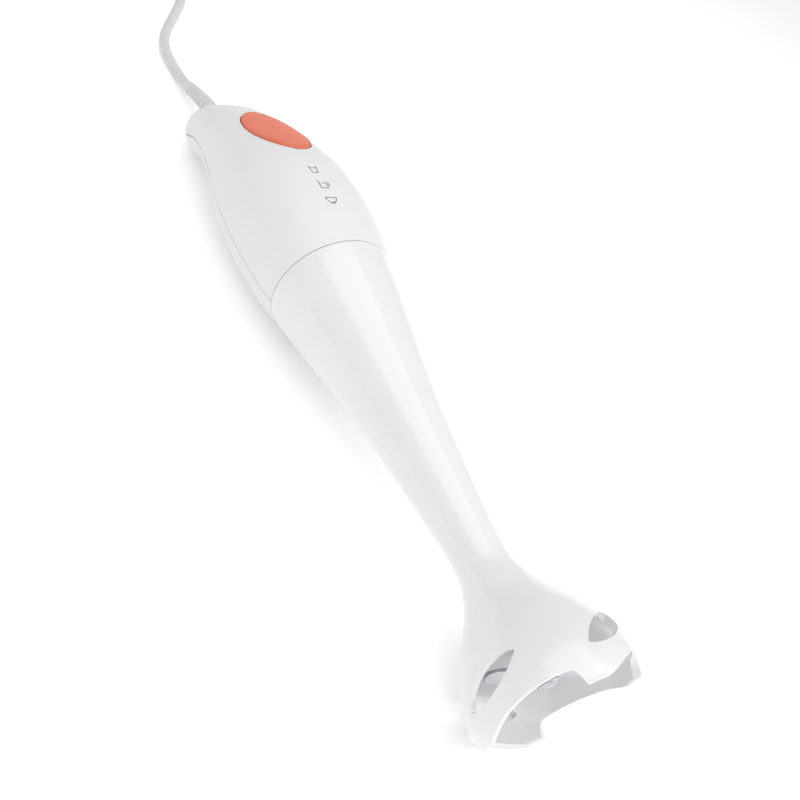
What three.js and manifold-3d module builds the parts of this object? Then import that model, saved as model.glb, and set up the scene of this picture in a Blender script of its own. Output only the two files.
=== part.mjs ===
// Corded immersion blender, lying on its back with the button up.
// Millimetres, +Z up. Inside the blender group, x is the height above the feet, +Z is the button's
// side and the drive axis is the X axis. The group then moves the drive axis up to its height above
// the surface it lies on, and the middle of the body to x = 0.
import * as THREE from 'three';
import { mergeVertices } from 'three/addons/utils/BufferGeometryUtils.js';
import Module from 'manifold-3d';

const wasm = await Module();
wasm.setup();

// ---------------------------------------------------------------- driving sizes

const GAP = 0.3; // between pieces that touch
const RUNNING = 0.3; // round a turning shaft
const OVERRUN = 1; // how far a cutter passes the face that it opens

const BODY_LENGTH = 362; // feet to the top of the head, without the cord
const SEAM_AT = 205; // where the handle meets the leg
const SEAM_RADIUS = 29.5;
const AXIS_HEIGHT = 32.5; // the drive axis above the surface

const HANDLE_WALL = 2.4;
const LEG_WALL = 2.3;
const BELL_WALL = 2.5;

const BELL_RADIUS = 32.5;
const NECK_RADIUS = 10.5;
const NECK_AT = 63;
const BELL_CEILING_AT = 35;
const BULKHEAD = 14; // solid length above the bell's ceiling, round the lower bush
const FEET = 4;
const FOOT_ANGLE = 13.5; // degrees from the button's side to the middle of the first foot
const FOOT_WIDTH = 14; // degrees
const ARCH_HEIGHT = 6.6;
const SLOT_LENGTH = 26.5;
const SLOT_HEIGHT = 8.4;
const SLOT_AT = 15.8;
const SLOT_ANGLE = 73; // degrees from the button's side to the middle of the first slot
const SLOT_SLANT = 19; // degrees
const SLOT_POINT = 1.5; // 1 draws an ellipse, and more draws its ends out to points
const SLOT_STEPS = 9;

const SHAFT_RADIUS = 2.5;
const BUSH_WALL = 2.2;
const SEAL_RADIUS = 7;
const BLADE_AT = 15;
const BLADE_REACH = 22.5;
const BLADE_THICKNESS = 1.4;

const BUTTON_AT = 296; // middle of the button along the body
const BUTTON_TILT = THREE.MathUtils.degToRad(18.5);
const BUTTON_LENGTH = 54;
const BUTTON_WIDTH = 28;
const BUTTON_CLEARANCE = 0.45;
const BUTTON_PROUD = 0.8;
const BUTTON_TRAVEL = 2.2;

const STATOR_AT = 222; // the motor's lower face
const STATOR_LENGTH = 28;
const STATOR_RADIUS = 27;
const STATOR_FLAT = 22;
const ROTOR_RADIUS = 12.9;
const AIR_GAP = 0.5;

const CORD_RADIUS = 3;
const RELIEF_LENGTH = 58;
const RELIEF_RADIUS = 5.2;
const RELIEF_TIP_RADIUS = 3.5;

const FINE = 32; // sides of a large round piece
const ROUND = 16;
const SMALL = 8;

// ---------------------------------------------------------------- materials

const finish = (color, roughness, metalness = 0) =>
  new THREE.MeshStandardMaterial({ color, roughness, metalness });

const whitePlastic = finish(0xf1f1f0, 0.42);
const glossWhite = finish(0xf4f4f3, 0.22);
const coral = finish(0xe67a5f, 0.5);
const greyRubber = finish(0xdcdcdc, 0.6);
const steel = finish(0xb9bcc0, 0.25, 1);
const lamination = finish(0x7b7f86, 0.5, 1);
const copper = finish(0xb06a3a, 0.35, 1);
const brass = finish(0xc9a75a, 0.35, 1);
const blackPlastic = finish(0x26272a, 0.6);
const carbon = finish(0x1c1c1e, 0.8);
const boardGreen = finish(0x2f6b46, 0.5);
const yellowFilm = finish(0xd8b23a, 0.45);
const brownWire = finish(0x6a3b22, 0.5);
const blueWire = finish(0x2b5a9c, 0.5);

// ---------------------------------------------------------------- solids

// A closed geometry as a manifold solid.
function solid(geometry) {
  const bare = new THREE.BufferGeometry();
  bare.setAttribute('position', geometry.getAttribute('position').clone());
  if (geometry.index) bare.setIndex(geometry.index.clone());
  const merged = mergeVertices(bare, 1e-4);
  const triVerts = [];
  const index = merged.index.array;
  for (let i = 0; i < index.length; i += 3) {
    const [a, b, c] = [index[i], index[i + 1], index[i + 2]];
    if (a !== b && b !== c && c !== a) triVerts.push(a, b, c);
  }
  return new wasm.Manifold(new wasm.Mesh({
    numProp: 3,
    vertProperties: new Float32Array(merged.getAttribute('position').array),
    triVerts: new Uint32Array(triVerts),
  }));
}

const join = (first, ...others) => others.reduce((all, one) => all.add(one), first);
const cut = (first, ...others) => others.reduce((all, one) => all.subtract(one), first);

function geometryOf(body) {
  const mesh = body.getMesh();
  const geometry = new THREE.BufferGeometry();
  const points = new Float32Array((mesh.vertProperties.length / mesh.numProp) * 3);
  for (let i = 0; i < points.length / 3; i++) {
    for (let k = 0; k < 3; k++) points[3 * i + k] = mesh.vertProperties[i * mesh.numProp + k];
  }
  geometry.setAttribute('position', new THREE.BufferAttribute(points, 3));
  geometry.setIndex(new THREE.BufferAttribute(new Uint32Array(mesh.triVerts), 1));
  geometry.computeVertexNormals();
  return geometry;
}

function piece(parent, name, body, material) {
  const mesh = new THREE.Mesh(geometryOf(body), material);
  mesh.name = name;
  parent.add(mesh);
  return mesh;
}

// [x, radius] pairs turned about the X axis. The first and last lie on the axis, or the outline closes.
function turned(outline, sides = ROUND) {
  const points = outline.map(([x, radius]) => new THREE.Vector2(radius, x));
  return solid(new THREE.LatheGeometry(points, sides).rotateZ(-Math.PI / 2));
}

const rod = (from, to, radius, sides = ROUND) =>
  turned([[from, 0], [from, radius], [to, radius], [to, 0]], sides);

const ring = (from, to, inner, outer, sides = ROUND) =>
  turned([[from, inner], [from, outer], [to, outer], [to, inner], [from, inner]], sides);

const box = (length, width, height, x = 0, y = 0, z = 0) =>
  solid(new THREE.BoxGeometry(length, width, height).translate(x, y, z));

// A round pin along Z.
const post = (x, y, from, to, radius, sides = SMALL) =>
  solid(new THREE.CylinderGeometry(radius, radius, to - from, sides)
    .rotateX(Math.PI / 2).translate(x, y, (from + to) / 2));

// A shape drawn in X and Y, as a plate from one height to another.
function plate(shape, from, to, curveSegments = 4) {
  const geometry = new THREE.ExtrudeGeometry(shape, {
    depth: to - from, bevelEnabled: false, curveSegments,
  });
  return solid(geometry.translate(0, 0, from));
}

function ovalShape(length, width, sides = FINE) {
  const points = [];
  for (let i = 0; i < sides; i++) {
    const angle = (2 * Math.PI * i) / sides;
    points.push(new THREE.Vector2((length / 2) * Math.cos(angle), (width / 2) * Math.sin(angle)));
  }
  return new THREE.Shape(points);
}

function roundedShape(length, width, radius) {
  const [x, y] = [length / 2 - radius, width / 2 - radius];
  const shape = new THREE.Shape();
  shape.absarc(x, y, radius, 0, Math.PI / 2);
  shape.absarc(-x, y, radius, Math.PI / 2, Math.PI);
  shape.absarc(-x, -y, radius, Math.PI, 1.5 * Math.PI);
  shape.absarc(x, -y, radius, 1.5 * Math.PI, 2 * Math.PI);
  return shape;
}

// Rings of points with the same count, joined in order and closed at both ends.
function loft(rings) {
  const sides = rings[0].length;
  const points = rings.flat();
  const index = [];
  for (let r = 0; r + 1 < rings.length; r++) {
    for (let i = 0; i < sides; i++) {
      const [a, b] = [r * sides + i, r * sides + ((i + 1) % sides)];
      index.push(a, b, a + sides, b, b + sides, a + sides);
    }
  }
  for (const [row, flip] of [[0, true], [rings.length - 1, false]]) {
    const middle = new THREE.Vector3();
    for (const point of rings[row]) middle.addScaledVector(point, 1 / sides);
    points.push(middle);
    for (let i = 0; i < sides; i++) {
      const [a, b] = [row * sides + i, row * sides + ((i + 1) % sides)];
      index.push(...(flip ? [b, a, points.length - 1] : [a, b, points.length - 1]));
    }
  }
  const geometry = new THREE.BufferGeometry().setFromPoints(points);
  geometry.setIndex(index);
  return solid(geometry);
}

// A round tube of changing radius along a curve: radii are [share of the length, radius] pairs.
function taperedTube(curve, radii, sides = SMALL) {
  const rings = radii.map(([share, radius]) => {
    const middle = curve.getPointAt(share);
    const along = curve.getTangentAt(share);
    const side = new THREE.Vector3(0, 1, 0);
    const up = new THREE.Vector3().crossVectors(along, side).normalize();
    return Array.from({ length: sides }, (_, i) => {
      const angle = (2 * Math.PI * i) / sides;
      return middle.clone()
        .addScaledVector(side, radius * Math.cos(angle))
        .addScaledVector(up, radius * Math.sin(angle));
    });
  });
  return loft(rings);
}

function circleShape(radius, sides) {
  const points = [];
  for (let i = 0; i < sides; i++) {
    const angle = (2 * Math.PI * i) / sides;
    points.push(new THREE.Vector2(radius * Math.cos(angle), radius * Math.sin(angle)));
  }
  return new THREE.Shape(points);
}

// A tube of one radius along a curve.
const tube = (curve, radius, steps, sides = 8) =>
  solid(new THREE.ExtrudeGeometry(circleShape(radius, sides), {
    extrudePath: curve, steps, bevelEnabled: false,
  }));

const smooth = (points) => new THREE.CatmullRomCurve3(points.map((p) => new THREE.Vector3(...p)));

// ---------------------------------------------------------------- outlines

// The leg's outside from the feet to the seam: height above the feet and radius.
const LEG_OUTLINE = [
  [0, BELL_RADIUS - 0.9], [7, BELL_RADIUS], [14, BELL_RADIUS - 0.9], [20, BELL_RADIUS - 2.8],
  [26, BELL_RADIUS - 5.6], [32, BELL_RADIUS - 8.9], [38, BELL_RADIUS - 13], [44, BELL_RADIUS - 16.9],
  [50, NECK_RADIUS + 2.5], [56, NECK_RADIUS + 0.6], [NECK_AT, NECK_RADIUS], [72, NECK_RADIUS + 0.5],
  [86, NECK_RADIUS + 1.8], [104, NECK_RADIUS + 3.6], [124, NECK_RADIUS + 5.9],
  [148, NECK_RADIUS + 9.5], [176, SEAM_RADIUS - 4.6], [SEAM_AT, SEAM_RADIUS],
];
const legCurve = new THREE.SplineCurve(LEG_OUTLINE.map(([x, r]) => new THREE.Vector2(x, r)));
const legPoints = legCurve.getPoints(23).map((p) => [p.x, p.y]);

function radiusAt(x) {
  const after = Math.max(1, legPoints.findIndex(([at]) => at >= x));
  const [[x0, r0], [x1, r1]] = [legPoints[after - 1], legPoints[after]];
  return r0 + ((r1 - r0) * (x - x0)) / (x1 - x0);
}

// The handle's outside: height, half width, reach to the button's side, reach to the back and how
// square the section is, from 2 for an ellipse.
const HANDLE_SECTIONS = [
  [SEAM_AT, SEAM_RADIUS, SEAM_RADIUS, SEAM_RADIUS, 2],
  [220, 31.6, 31.2, 31.6, 2.1],
  [240, 32.8, 32, AXIS_HEIGHT - 0.15, 2.2],
  [262, 32.3, 30.6, AXIS_HEIGHT - 0.1, 2.25],
  [280, 30.3, 26.6, 31.6, 2.3],
  [290, 28.8, 23.6, 28.6, 2.3],
  [300, 27.2, 20.2, 25, 2.3],
  [312, 25.8, 15.9, 22.8, 2.3],
  [325, 24.6, 10.9, 24.2, 2.3],
  [BODY_LENGTH - 24, 23, 5.4, 29.4, 2.3],
  [BODY_LENGTH - 13.5, 20.6, -0.8, AXIS_HEIGHT - 0.1, 2.25],
  [BODY_LENGTH - 6, 16.2, -6.4, 31, 2.2],
  [BODY_LENGTH - 1.5, 10.2, -11.6, 27, 2.1],
  [BODY_LENGTH, 3.6, -16.2, 21.6, 2],
];
const handleCurves = [1, 2, 3, 4].map((column) =>
  new THREE.SplineCurve(HANDLE_SECTIONS.map((row) => new THREE.Vector2(row[0], row[column]))));

// The handle as one solid, grown outwards or inwards.
function handleForm(grow, steps = 21) {
  const rings = [];
  for (let step = 0; step <= steps; step++) {
    const share = step / steps;
    const [half, front, back, square] = handleCurves.map((curve) => curve.getPoint(share).y);
    const stretch = 1 + grow / (BODY_LENGTH - SEAM_AT);
    const at = SEAM_AT + (handleCurves[0].getPoint(share).x - SEAM_AT) * stretch;
    const [middle, deep] = [(front - back) / 2, (front + back) / 2 + grow];
    const wide = half + grow;
    if (wide < 1 || deep < 1) break;
    rings.push(Array.from({ length: FINE }, (_, i) => {
      const angle = (2 * Math.PI * i) / FINE;
      const bend = (value) => Math.sign(value) * Math.abs(value) ** (2 / square);
      return new THREE.Vector3(at, wide * bend(Math.cos(angle)), middle + deep * bend(Math.sin(angle)));
    }));
  }
  return loft(rings);
}

// Everything behind the joint between the two handle shells, moved towards the front by shift.
const JOINT_LINE = [
  [SEAM_AT - 20, -6.5], [BODY_LENGTH - 47, -6.5], [BODY_LENGTH - 32, -10], [BODY_LENGTH - 19, -17.5],
  [BODY_LENGTH + 20, -17.5],
];
function behindJoint(shift) {
  const low = -2 * AXIS_HEIGHT;
  const [first, last] = [JOINT_LINE[0], JOINT_LINE[JOINT_LINE.length - 1]];
  const outline = [...JOINT_LINE.map(([x, z]) => [x, z + shift]), [last[0], low], [first[0], low]];
  const shape = new THREE.Shape(outline.map(([x, z]) => new THREE.Vector2(x, z)));
  const wide = 4 * AXIS_HEIGHT;
  const geometry = new THREE.ExtrudeGeometry(shape, { depth: wide, bevelEnabled: false });
  return solid(geometry.rotateX(Math.PI / 2).translate(0, wide / 2, 0));
}

// ---------------------------------------------------------------- leg and bell

const SPIGOT_LENGTH = 7;
const bushTop = BELL_CEILING_AT + BULKHEAD;
const bushRadius = SHAFT_RADIUS + RUNNING + BUSH_WALL;
const UPPER_WEB_AT = 182;
const WEB = 4;
const BOSS_AT = BELL_CEILING_AT - 9; // the lower face of the bell's middle boss
const SEAL_TOP = BELL_CEILING_AT - 1;

// A shape drawn as (up, around), pushed straight out through the bell. Angles start at the button's
// side and grow towards +Y.
function throughBell(shape, degrees, inner) {
  const angle = THREE.MathUtils.degToRad(degrees);
  const geometry = new THREE.ExtrudeGeometry(shape, {
    depth: 2 * BELL_RADIUS, bevelEnabled: false, curveSegments: 10,
  });
  geometry.translate(0, 0, inner);
  geometry.applyMatrix4(new THREE.Matrix4().makeBasis(
    new THREE.Vector3(1, 0, 0),
    new THREE.Vector3(0, Math.cos(angle), -Math.sin(angle)),
    new THREE.Vector3(0, Math.sin(angle), Math.cos(angle))));
  return solid(geometry);
}

// One arch between two feet: steep beside the first foot, then a long slope down to the second.
function archShape() {
  const half = THREE.MathUtils.degToRad((360 / FEET - FOOT_WIDTH) / 2);
  const across = BELL_RADIUS * Math.sin(half);
  const crown = [
    [0.1, -0.98], [0.5, -0.96], [0.82, -0.91], [0.96, -0.8], [1, -0.6], [0.97, -0.3], [0.85, 0],
    [0.66, 0.31], [0.43, 0.54], [0.21, 0.72], [0, 0.88], [-0.3, 1.05],
  ].map(([up, around]) => new THREE.Vector2(ARCH_HEIGHT * up, across * around));
  const points = new THREE.SplineCurve(crown).getPoints(13);
  const below = -2 * ARCH_HEIGHT;
  return new THREE.Shape([
    new THREE.Vector2(below, -across), ...points, new THREE.Vector2(below, 1.1 * across),
  ]);
}

// One slot: a slanting leaf, widest in the middle and nearly pointed at both ends.
function slotShape() {
  const slant = THREE.MathUtils.degToRad(SLOT_SLANT);
  const corners = 2 * SLOT_STEPS;
  return new THREE.Shape(Array.from({ length: corners }, (_, i) => {
    const turn = (2 * Math.PI * i) / corners;
    const along = (SLOT_LENGTH / 2) * Math.cos(turn);
    const aside = (SLOT_HEIGHT / 2) * Math.sign(Math.sin(turn)) * Math.abs(Math.sin(turn)) ** SLOT_POINT;
    return new THREE.Vector2(
      SLOT_AT + aside * Math.cos(slant) - along * Math.sin(slant),
      aside * Math.sin(slant) + along * Math.cos(slant));
  }));
}

function legHousing() {
  const spigot = SEAM_RADIUS - HANDLE_WALL - GAP;
  const outside = turned([
    [0, 0], ...legPoints, [SEAM_AT, spigot], [SEAM_AT + SPIGOT_LENGTH, spigot], [SEAM_AT + SPIGOT_LENGTH, 0],
  ], FINE);
  const inner = (wall) => ([x, r]) => [x, r - wall];
  const bellPoints = legPoints.filter(([x]) => x > 0 && x < BELL_CEILING_AT - 3).map(inner(BELL_WALL));
  const ceiling = radiusAt(BELL_CEILING_AT) - BELL_WALL - 3;
  const bell = turned([
    [-OVERRUN, 0], [-OVERRUN, radiusAt(0) - BELL_WALL], ...bellPoints,
    [BELL_CEILING_AT, ceiling], [BELL_CEILING_AT, 0],
  ], FINE);
  const top = SEAM_AT + SPIGOT_LENGTH;
  const tubePoints = legPoints.filter(([x]) => x > bushTop && x < SEAM_AT - 5).map(inner(LEG_WALL));
  const hollow = turned([
    [bushTop, 0], [bushTop, radiusAt(bushTop) - LEG_WALL - 1], ...tubePoints,
    [SEAM_AT, spigot - LEG_WALL], [top + OVERRUN, spigot - LEG_WALL], [top + OVERRUN, 0],
  ], FINE);
  const boss = rod(BOSS_AT, BELL_CEILING_AT + OVERRUN, SEAL_RADIUS + BUSH_WALL, ROUND);
  const web = rod(UPPER_WEB_AT, UPPER_WEB_AT + WEB, radiusAt(UPPER_WEB_AT) - LEG_WALL / 2, FINE);
  const webBoss = rod(UPPER_WEB_AT - WEB, UPPER_WEB_AT + 2 * WEB, bushRadius + BUSH_WALL);
  let body = join(cut(outside, bell, hollow), boss, web, webBoss);
  body = cut(body,
    rod(BOSS_AT - OVERRUN, SEAL_TOP, SEAL_RADIUS),
    rod(BOSS_AT, UPPER_WEB_AT + 3 * WEB, SHAFT_RADIUS + RUNNING),
    rod(BELL_CEILING_AT + 3, bushTop + OVERRUN, bushRadius),
    rod(UPPER_WEB_AT - WEB - OVERRUN, UPPER_WEB_AT + 2 * WEB - 2, bushRadius));
  for (let foot = 0; foot < FEET; foot++) {
    const turn = (360 / FEET) * foot;
    body = cut(body,
      throughBell(archShape(), FOOT_ANGLE + 180 / FEET + turn, BELL_RADIUS / 3),
      throughBell(slotShape(), SLOT_ANGLE + turn, BELL_RADIUS / 2));
  }
  return body;
}

// ---------------------------------------------------------------- handle shells

const buttonNormal = new THREE.Vector3(Math.sin(BUTTON_TILT), 0, Math.cos(BUTTON_TILT));

function frontReachAt(x) {
  let low = 0;
  let high = 1;
  for (let i = 0; i < 30; i++) {
    const middle = (low + high) / 2;
    if (handleCurves[1].getPoint(middle).x < x) low = middle;
    else high = middle;
  }
  return handleCurves[1].getPoint(low).y;
}

// Places a solid made round the button's own frame: z along the normal, 0 at the handle's surface.
const buttonFrame = new THREE.Matrix4()
  .makeRotationY(BUTTON_TILT)
  .setPosition(BUTTON_AT, 0, frontReachAt(BUTTON_AT));
const atButton = (body) => body.transform(buttonFrame.toArray());

const FLANGE = 1.4; // how far the button's flange reaches under the shell
const FLANGE_THICKNESS = 1.2;
const FLANGE_GAP = 0.5; // between the flange and the shell's inner face
const CAP_SIDE = 1.6; // thickness of the cap's side wall
const STEM_RADIUS = 2.2;
const BUTTON_WALL = 2;
const oval = (grow, from, to) =>
  plate(ovalShape(BUTTON_LENGTH + 2 * grow, BUTTON_WIDTH + 2 * grow), from, to);

const SCREW_AT = 300;
const SCREW_ASIDE = 18.5;
const SCREW_RADIUS = 1.5;
const SCREW_HEAD_RADIUS = 2.9;
const SCREW_LENGTH = 12;
const BOSS_WALL = 1.6;
const SCREW_SEAT = -9; // z of the face under the screw's head

const RELIEF_FLANGE_RADIUS = RELIEF_RADIUS + 2;
const RELIEF_FLANGE = 2.5;
const RELIEF_Z = -17.5; // where the cord passes the head
const RELIEF_START = BODY_LENGTH - 13; // the inner face of the relief's flange
const reliefHole = rod(RELIEF_START - 12, BODY_LENGTH + 10, RELIEF_RADIUS + GAP).translate([0, 0, RELIEF_Z]);
const reliefSeat = rod(RELIEF_START - GAP, RELIEF_START + RELIEF_FLANGE + GAP, RELIEF_FLANGE_RADIUS + GAP)
  .translate([0, 0, RELIEF_Z]);
const reliefCollar = rod(RELIEF_START - 3, BODY_LENGTH - 1, RELIEF_FLANGE_RADIUS + 2)
  .translate([0, 0, RELIEF_Z]);

const CLAMP_AT = BODY_LENGTH - 31;
const CLAMP_ASIDE = 7.5;
const CLAMP_SCREW_RADIUS = 1.1;

const outerForm = handleForm(0);
const innerForm = handleForm(-HANDLE_WALL);
const innerStart = rod(SEAM_AT - OVERRUN, SEAM_AT + SPIGOT_LENGTH + GAP, SEAM_RADIUS - HANDLE_WALL, FINE);
const seamGap = rod(SEAM_AT - OVERRUN, SEAM_AT + GAP, 2 * SEAM_RADIUS, FINE);
const handleWall = cut(outerForm, innerForm, innerStart, seamGap);
const wholeHandle = cut(join(handleWall, reliefCollar.intersect(outerForm)), reliefHole, reliefSeat);

function frontShell() {
  const bosses = [-1, 1].map((side) =>
    post(SCREW_AT, side * SCREW_ASIDE, SCREW_SEAT + 4, 20, SCREW_RADIUS + BOSS_WALL).intersect(outerForm));
  const shell = join(cut(wholeHandle, behindJoint(GAP / 2)), ...bosses);
  const pilots = [-1, 1].map((side) =>
    post(SCREW_AT, side * SCREW_ASIDE, SCREW_SEAT, SCREW_SEAT + SCREW_LENGTH + 1, SCREW_RADIUS + GAP));
  return cut(shell, atButton(oval(BUTTON_CLEARANCE, -9, 12)), ...pilots);
}

function rearShell() {
  const bosses = [-1, 1].map((side) =>
    post(SCREW_AT, side * SCREW_ASIDE, -30, SCREW_SEAT + 3.5, SCREW_HEAD_RADIUS + BOSS_WALL)
      .intersect(outerForm));
  const clampPosts = [-1, 1].map((side) =>
    post(CLAMP_AT, side * CLAMP_ASIDE, -40, RELIEF_Z - CORD_RADIUS - 0.5, 3).intersect(outerForm));
  const shell = join(wholeHandle.intersect(behindJoint(-GAP / 2)), ...bosses, ...clampPosts);
  const holes = [-1, 1].flatMap((side) => [
    post(SCREW_AT, side * SCREW_ASIDE, -40, SCREW_SEAT, SCREW_HEAD_RADIUS + GAP),
    post(SCREW_AT, side * SCREW_ASIDE, SCREW_SEAT - 1, 10, SCREW_RADIUS + GAP),
    post(CLAMP_AT, side * CLAMP_ASIDE, -24.5, -10, CLAMP_SCREW_RADIUS + GAP),
  ]);
  return cut(shell, ...holes);
}

// ---------------------------------------------------------------- button and switch

const BOARD_AT = -16; // top of the board, below the handle's surface at the button
const BOARD_THICKNESS = 1.6;
const BOARD_LENGTH = 44;
const BOARD_WIDTH = 26;
const SWITCH_LENGTH = 20;
const SWITCH_WIDTH = 6.6;
const SWITCH_HEIGHT = 8;
const PLUNGER_RADIUS = 1.3;
const SPRING_RADIUS = 3;
const SPRING_WIRE = 0.35;
const SPRING_AT = 16;
const SPRING_TURNS = 4.5;
const flangeTop = -HANDLE_WALL - 0.7;
const flangeBase = flangeTop - FLANGE_THICKNESS;
const switchTop = BOARD_AT + GAP + SWITCH_HEIGHT;
const plungerTop = switchTop + 1 + BUTTON_TRAVEL;

// The cap follows the handle's own surface, a little proud of it, with a flange under the shell, a stem
// over the switch and a pin that guides the spring.
function buttonCap() {
  const outside = handleForm(BUTTON_PROUD);
  const crown = atButton(oval(0, -8, 12)).intersect(outside);
  const hollow = handleForm(BUTTON_PROUD - BUTTON_WALL).intersect(atButton(oval(-CAP_SIDE, -20, 12)));
  const side = atButton(oval(0, flangeBase, 12).subtract(oval(-CAP_SIDE, flangeBase - OVERRUN, 13)));
  const flange = atButton(oval(FLANGE, flangeBase, flangeTop)
    .subtract(oval(-CAP_SIDE, flangeBase - OVERRUN, flangeTop + OVERRUN)))
    .intersect(handleForm(-HANDLE_WALL - FLANGE_GAP));
  const stem = atButton(post(0, 0, plungerTop + GAP, 1, STEM_RADIUS));
  const guide = atButton(post(SPRING_AT, 0, flangeBase - 3, 0, SPRING_RADIUS - 1.1));
  const inside = join(stem, guide).intersect(handleForm(BUTTON_PROUD - 0.5));
  return join(cut(crown, hollow), side.intersect(outside), flange, inside);
}

function springCoil(from, to, radius, wire, turns) {
  const points = Array.from({ length: turns * 6 + 1 }, (_, i) => {
    const angle = (2 * Math.PI * i) / 6;
    const share = i / (turns * 6);
    const height = from + wire + (to - from - 2 * wire) * share;
    return [radius * Math.cos(angle), radius * Math.sin(angle), height];
  });
  return tube(smooth(points), wire, turns * 8, 5);
}

function circuitBoard() {
  const shape = roundedShape(BOARD_LENGTH, BOARD_WIDTH, 2);
  const board = plate(shape, BOARD_AT - BOARD_THICKNESS, BOARD_AT);
  const holes = [-1, 1].map((side) => post(19, side * 9, BOARD_AT - 4, BOARD_AT + 1, 1.4));
  return cut(board, ...holes);
}

function switchBody() {
  const middle = BOARD_AT + GAP + SWITCH_HEIGHT / 2;
  const body = box(SWITCH_LENGTH, SWITCH_WIDTH, SWITCH_HEIGHT, 0, 0, middle);
  return cut(body, post(0, 0, middle - 1.5, middle + SWITCH_HEIGHT, PLUNGER_RADIUS + GAP));
}

// ---------------------------------------------------------------- motor

const FAN_AT = 206;
const LOWER_BRACKET_AT = 214;
const COMMUTATOR_AT = 256;
const COMMUTATOR_LENGTH = 10;
const COMMUTATOR_RADIUS = 8.5;
const UPPER_BRACKET_AT = 269;
const BEARING_RADIUS = 6.5;
const BEARING_LENGTH = 4;
const BRACKET = 2.2;
const HOLDER_REACH = 15.5;
const HOLDER_END = 1.2;
const BRUSH_LENGTH = 9;
const BRUSH_WIDTH = 4.4;
const BRUSH_HEIGHT = 6.4;
const BARS = 12; // commutator bars, and slots in the armature
const statorTop = STATOR_AT + STATOR_LENGTH;

function fieldCore() {
  const flats = box(STATOR_LENGTH, 2 * STATOR_RADIUS, 2 * STATOR_FLAT, STATOR_AT + STATOR_LENGTH / 2);
  const yoke = rod(STATOR_AT, statorTop, STATOR_RADIUS, FINE).intersect(flats);
  const window = rod(STATOR_AT - 1, statorTop + 1, STATOR_RADIUS - 3.5, FINE)
    .intersect(box(STATOR_LENGTH + 4, 60, 2 * (STATOR_FLAT - 3.5), STATOR_AT + STATOR_LENGTH / 2));
  const poles = box(STATOR_LENGTH, 2 * STATOR_RADIUS - 2, 12, STATOR_AT + STATOR_LENGTH / 2);
  const shoeRing = ring(STATOR_AT, statorTop, ROTOR_RADIUS + AIR_GAP, ROTOR_RADIUS + 3.2, FINE)
    .intersect(box(STATOR_LENGTH, 60, 22, STATOR_AT + STATOR_LENGTH / 2));
  const core = join(cut(yoke, window), poles.intersect(yoke), shoeRing);
  return cut(core, rod(STATOR_AT - 1, statorTop + 1, ROTOR_RADIUS + AIR_GAP, FINE));
}

// A coil round one pole, with its ends standing out past the core.
function fieldCoil(side) {
  const outer = roundedShape(STATOR_LENGTH + 10, 21, 4);
  const hole = roundedShape(STATOR_LENGTH + 0.8, 12.8, 0.8);
  outer.holes.push(new THREE.Path(hole.getPoints(6)));
  const coil = plate(outer, 16.6, 20.4, 6).translate([STATOR_AT + STATOR_LENGTH / 2, 0, 0]);
  return coil.rotate([side * -90, 0, 0]);
}

function armatureCore() {
  const body = rod(STATOR_AT, statorTop, ROTOR_RADIUS, FINE);
  const slots = Array.from({ length: BARS }, (_, i) =>
    box(STATOR_LENGTH + 2, 1.4, 4, STATOR_AT + STATOR_LENGTH / 2, 0, ROTOR_RADIUS - 1)
      .rotate([(i * 360) / BARS, 0, 0]));
  return cut(body, ...slots, rod(STATOR_AT - 1, statorTop + 1, SHAFT_RADIUS + GAP / 2, SMALL));
}

const winding = (from, to) => turned([
  [from, SHAFT_RADIUS + 1.5], [from, ROTOR_RADIUS - 4], [from + 1, ROTOR_RADIUS - 2],
  [to - 1, ROTOR_RADIUS - 2], [to, ROTOR_RADIUS - 4], [to, SHAFT_RADIUS + 1.5], [from, SHAFT_RADIUS + 1.5],
]);

function coolingFan() {
  const hub = rod(FAN_AT, FAN_AT + 6, 6);
  const disc = rod(FAN_AT, FAN_AT + 1.2, 21, FINE);
  const blades = Array.from({ length: 9 }, (_, i) =>
    box(5.2, 1.1, 16, FAN_AT + 3.2, 0, 12).rotate([i * 40, 0, 0]));
  return cut(join(hub, disc, ...blades), rod(FAN_AT - 1, FAN_AT + 8, SHAFT_RADIUS + GAP / 2, SMALL));
}

// A bridge across the motor that holds a bearing, its pocket open towards the rotor.
function bracket(at, reach, pocketSide) {
  const acrossBody = new THREE.Matrix4().makeRotationY(Math.PI / 2).toArray();
  const bridge = plate(roundedShape(15, 2 * reach, 5), at, at + BRACKET, 6).transform(acrossBody);
  const bossFrom = pocketSide > 0 ? at : at - BEARING_LENGTH + BRACKET;
  const boss = rod(bossFrom, bossFrom + BEARING_LENGTH, BEARING_RADIUS + 2.4);
  const pocketFrom = pocketSide > 0 ? bossFrom + 1 : bossFrom - 1;
  return cut(join(bridge, boss),
    rod(pocketFrom, pocketFrom + BEARING_LENGTH, BEARING_RADIUS + GAP),
    rod(at - 10, at + 10, SHAFT_RADIUS + 1));
}

const bearing = (at) => ring(at, at + BEARING_LENGTH - 1.2, SHAFT_RADIUS + RUNNING / 2, BEARING_RADIUS);

// A brush piece made along +Y, brought to the commutator on one side of the shaft.
const atCommutator = (body, side) => body.rotate([side > 0 ? 0 : 180, 0, 0])
  .translate([COMMUTATOR_AT + COMMUTATOR_LENGTH / 2, 0, 0]);

function brushHolder(side) {
  const inner = COMMUTATOR_RADIUS + 1.2;
  const outer = COMMUTATOR_RADIUS + HOLDER_REACH;
  const middle = (inner + outer) / 2;
  const length = outer - inner;
  const channel = length + OVERRUN - HOLDER_END;
  const holder = cut(
    box(BRUSH_WIDTH + 3, length, BRUSH_HEIGHT + 3, 0, middle, 0),
    box(BRUSH_WIDTH + 2 * GAP, channel, BRUSH_HEIGHT + 2 * GAP, 0, outer - HOLDER_END - channel / 2, 0));
  return atCommutator(holder, side);
}

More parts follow.
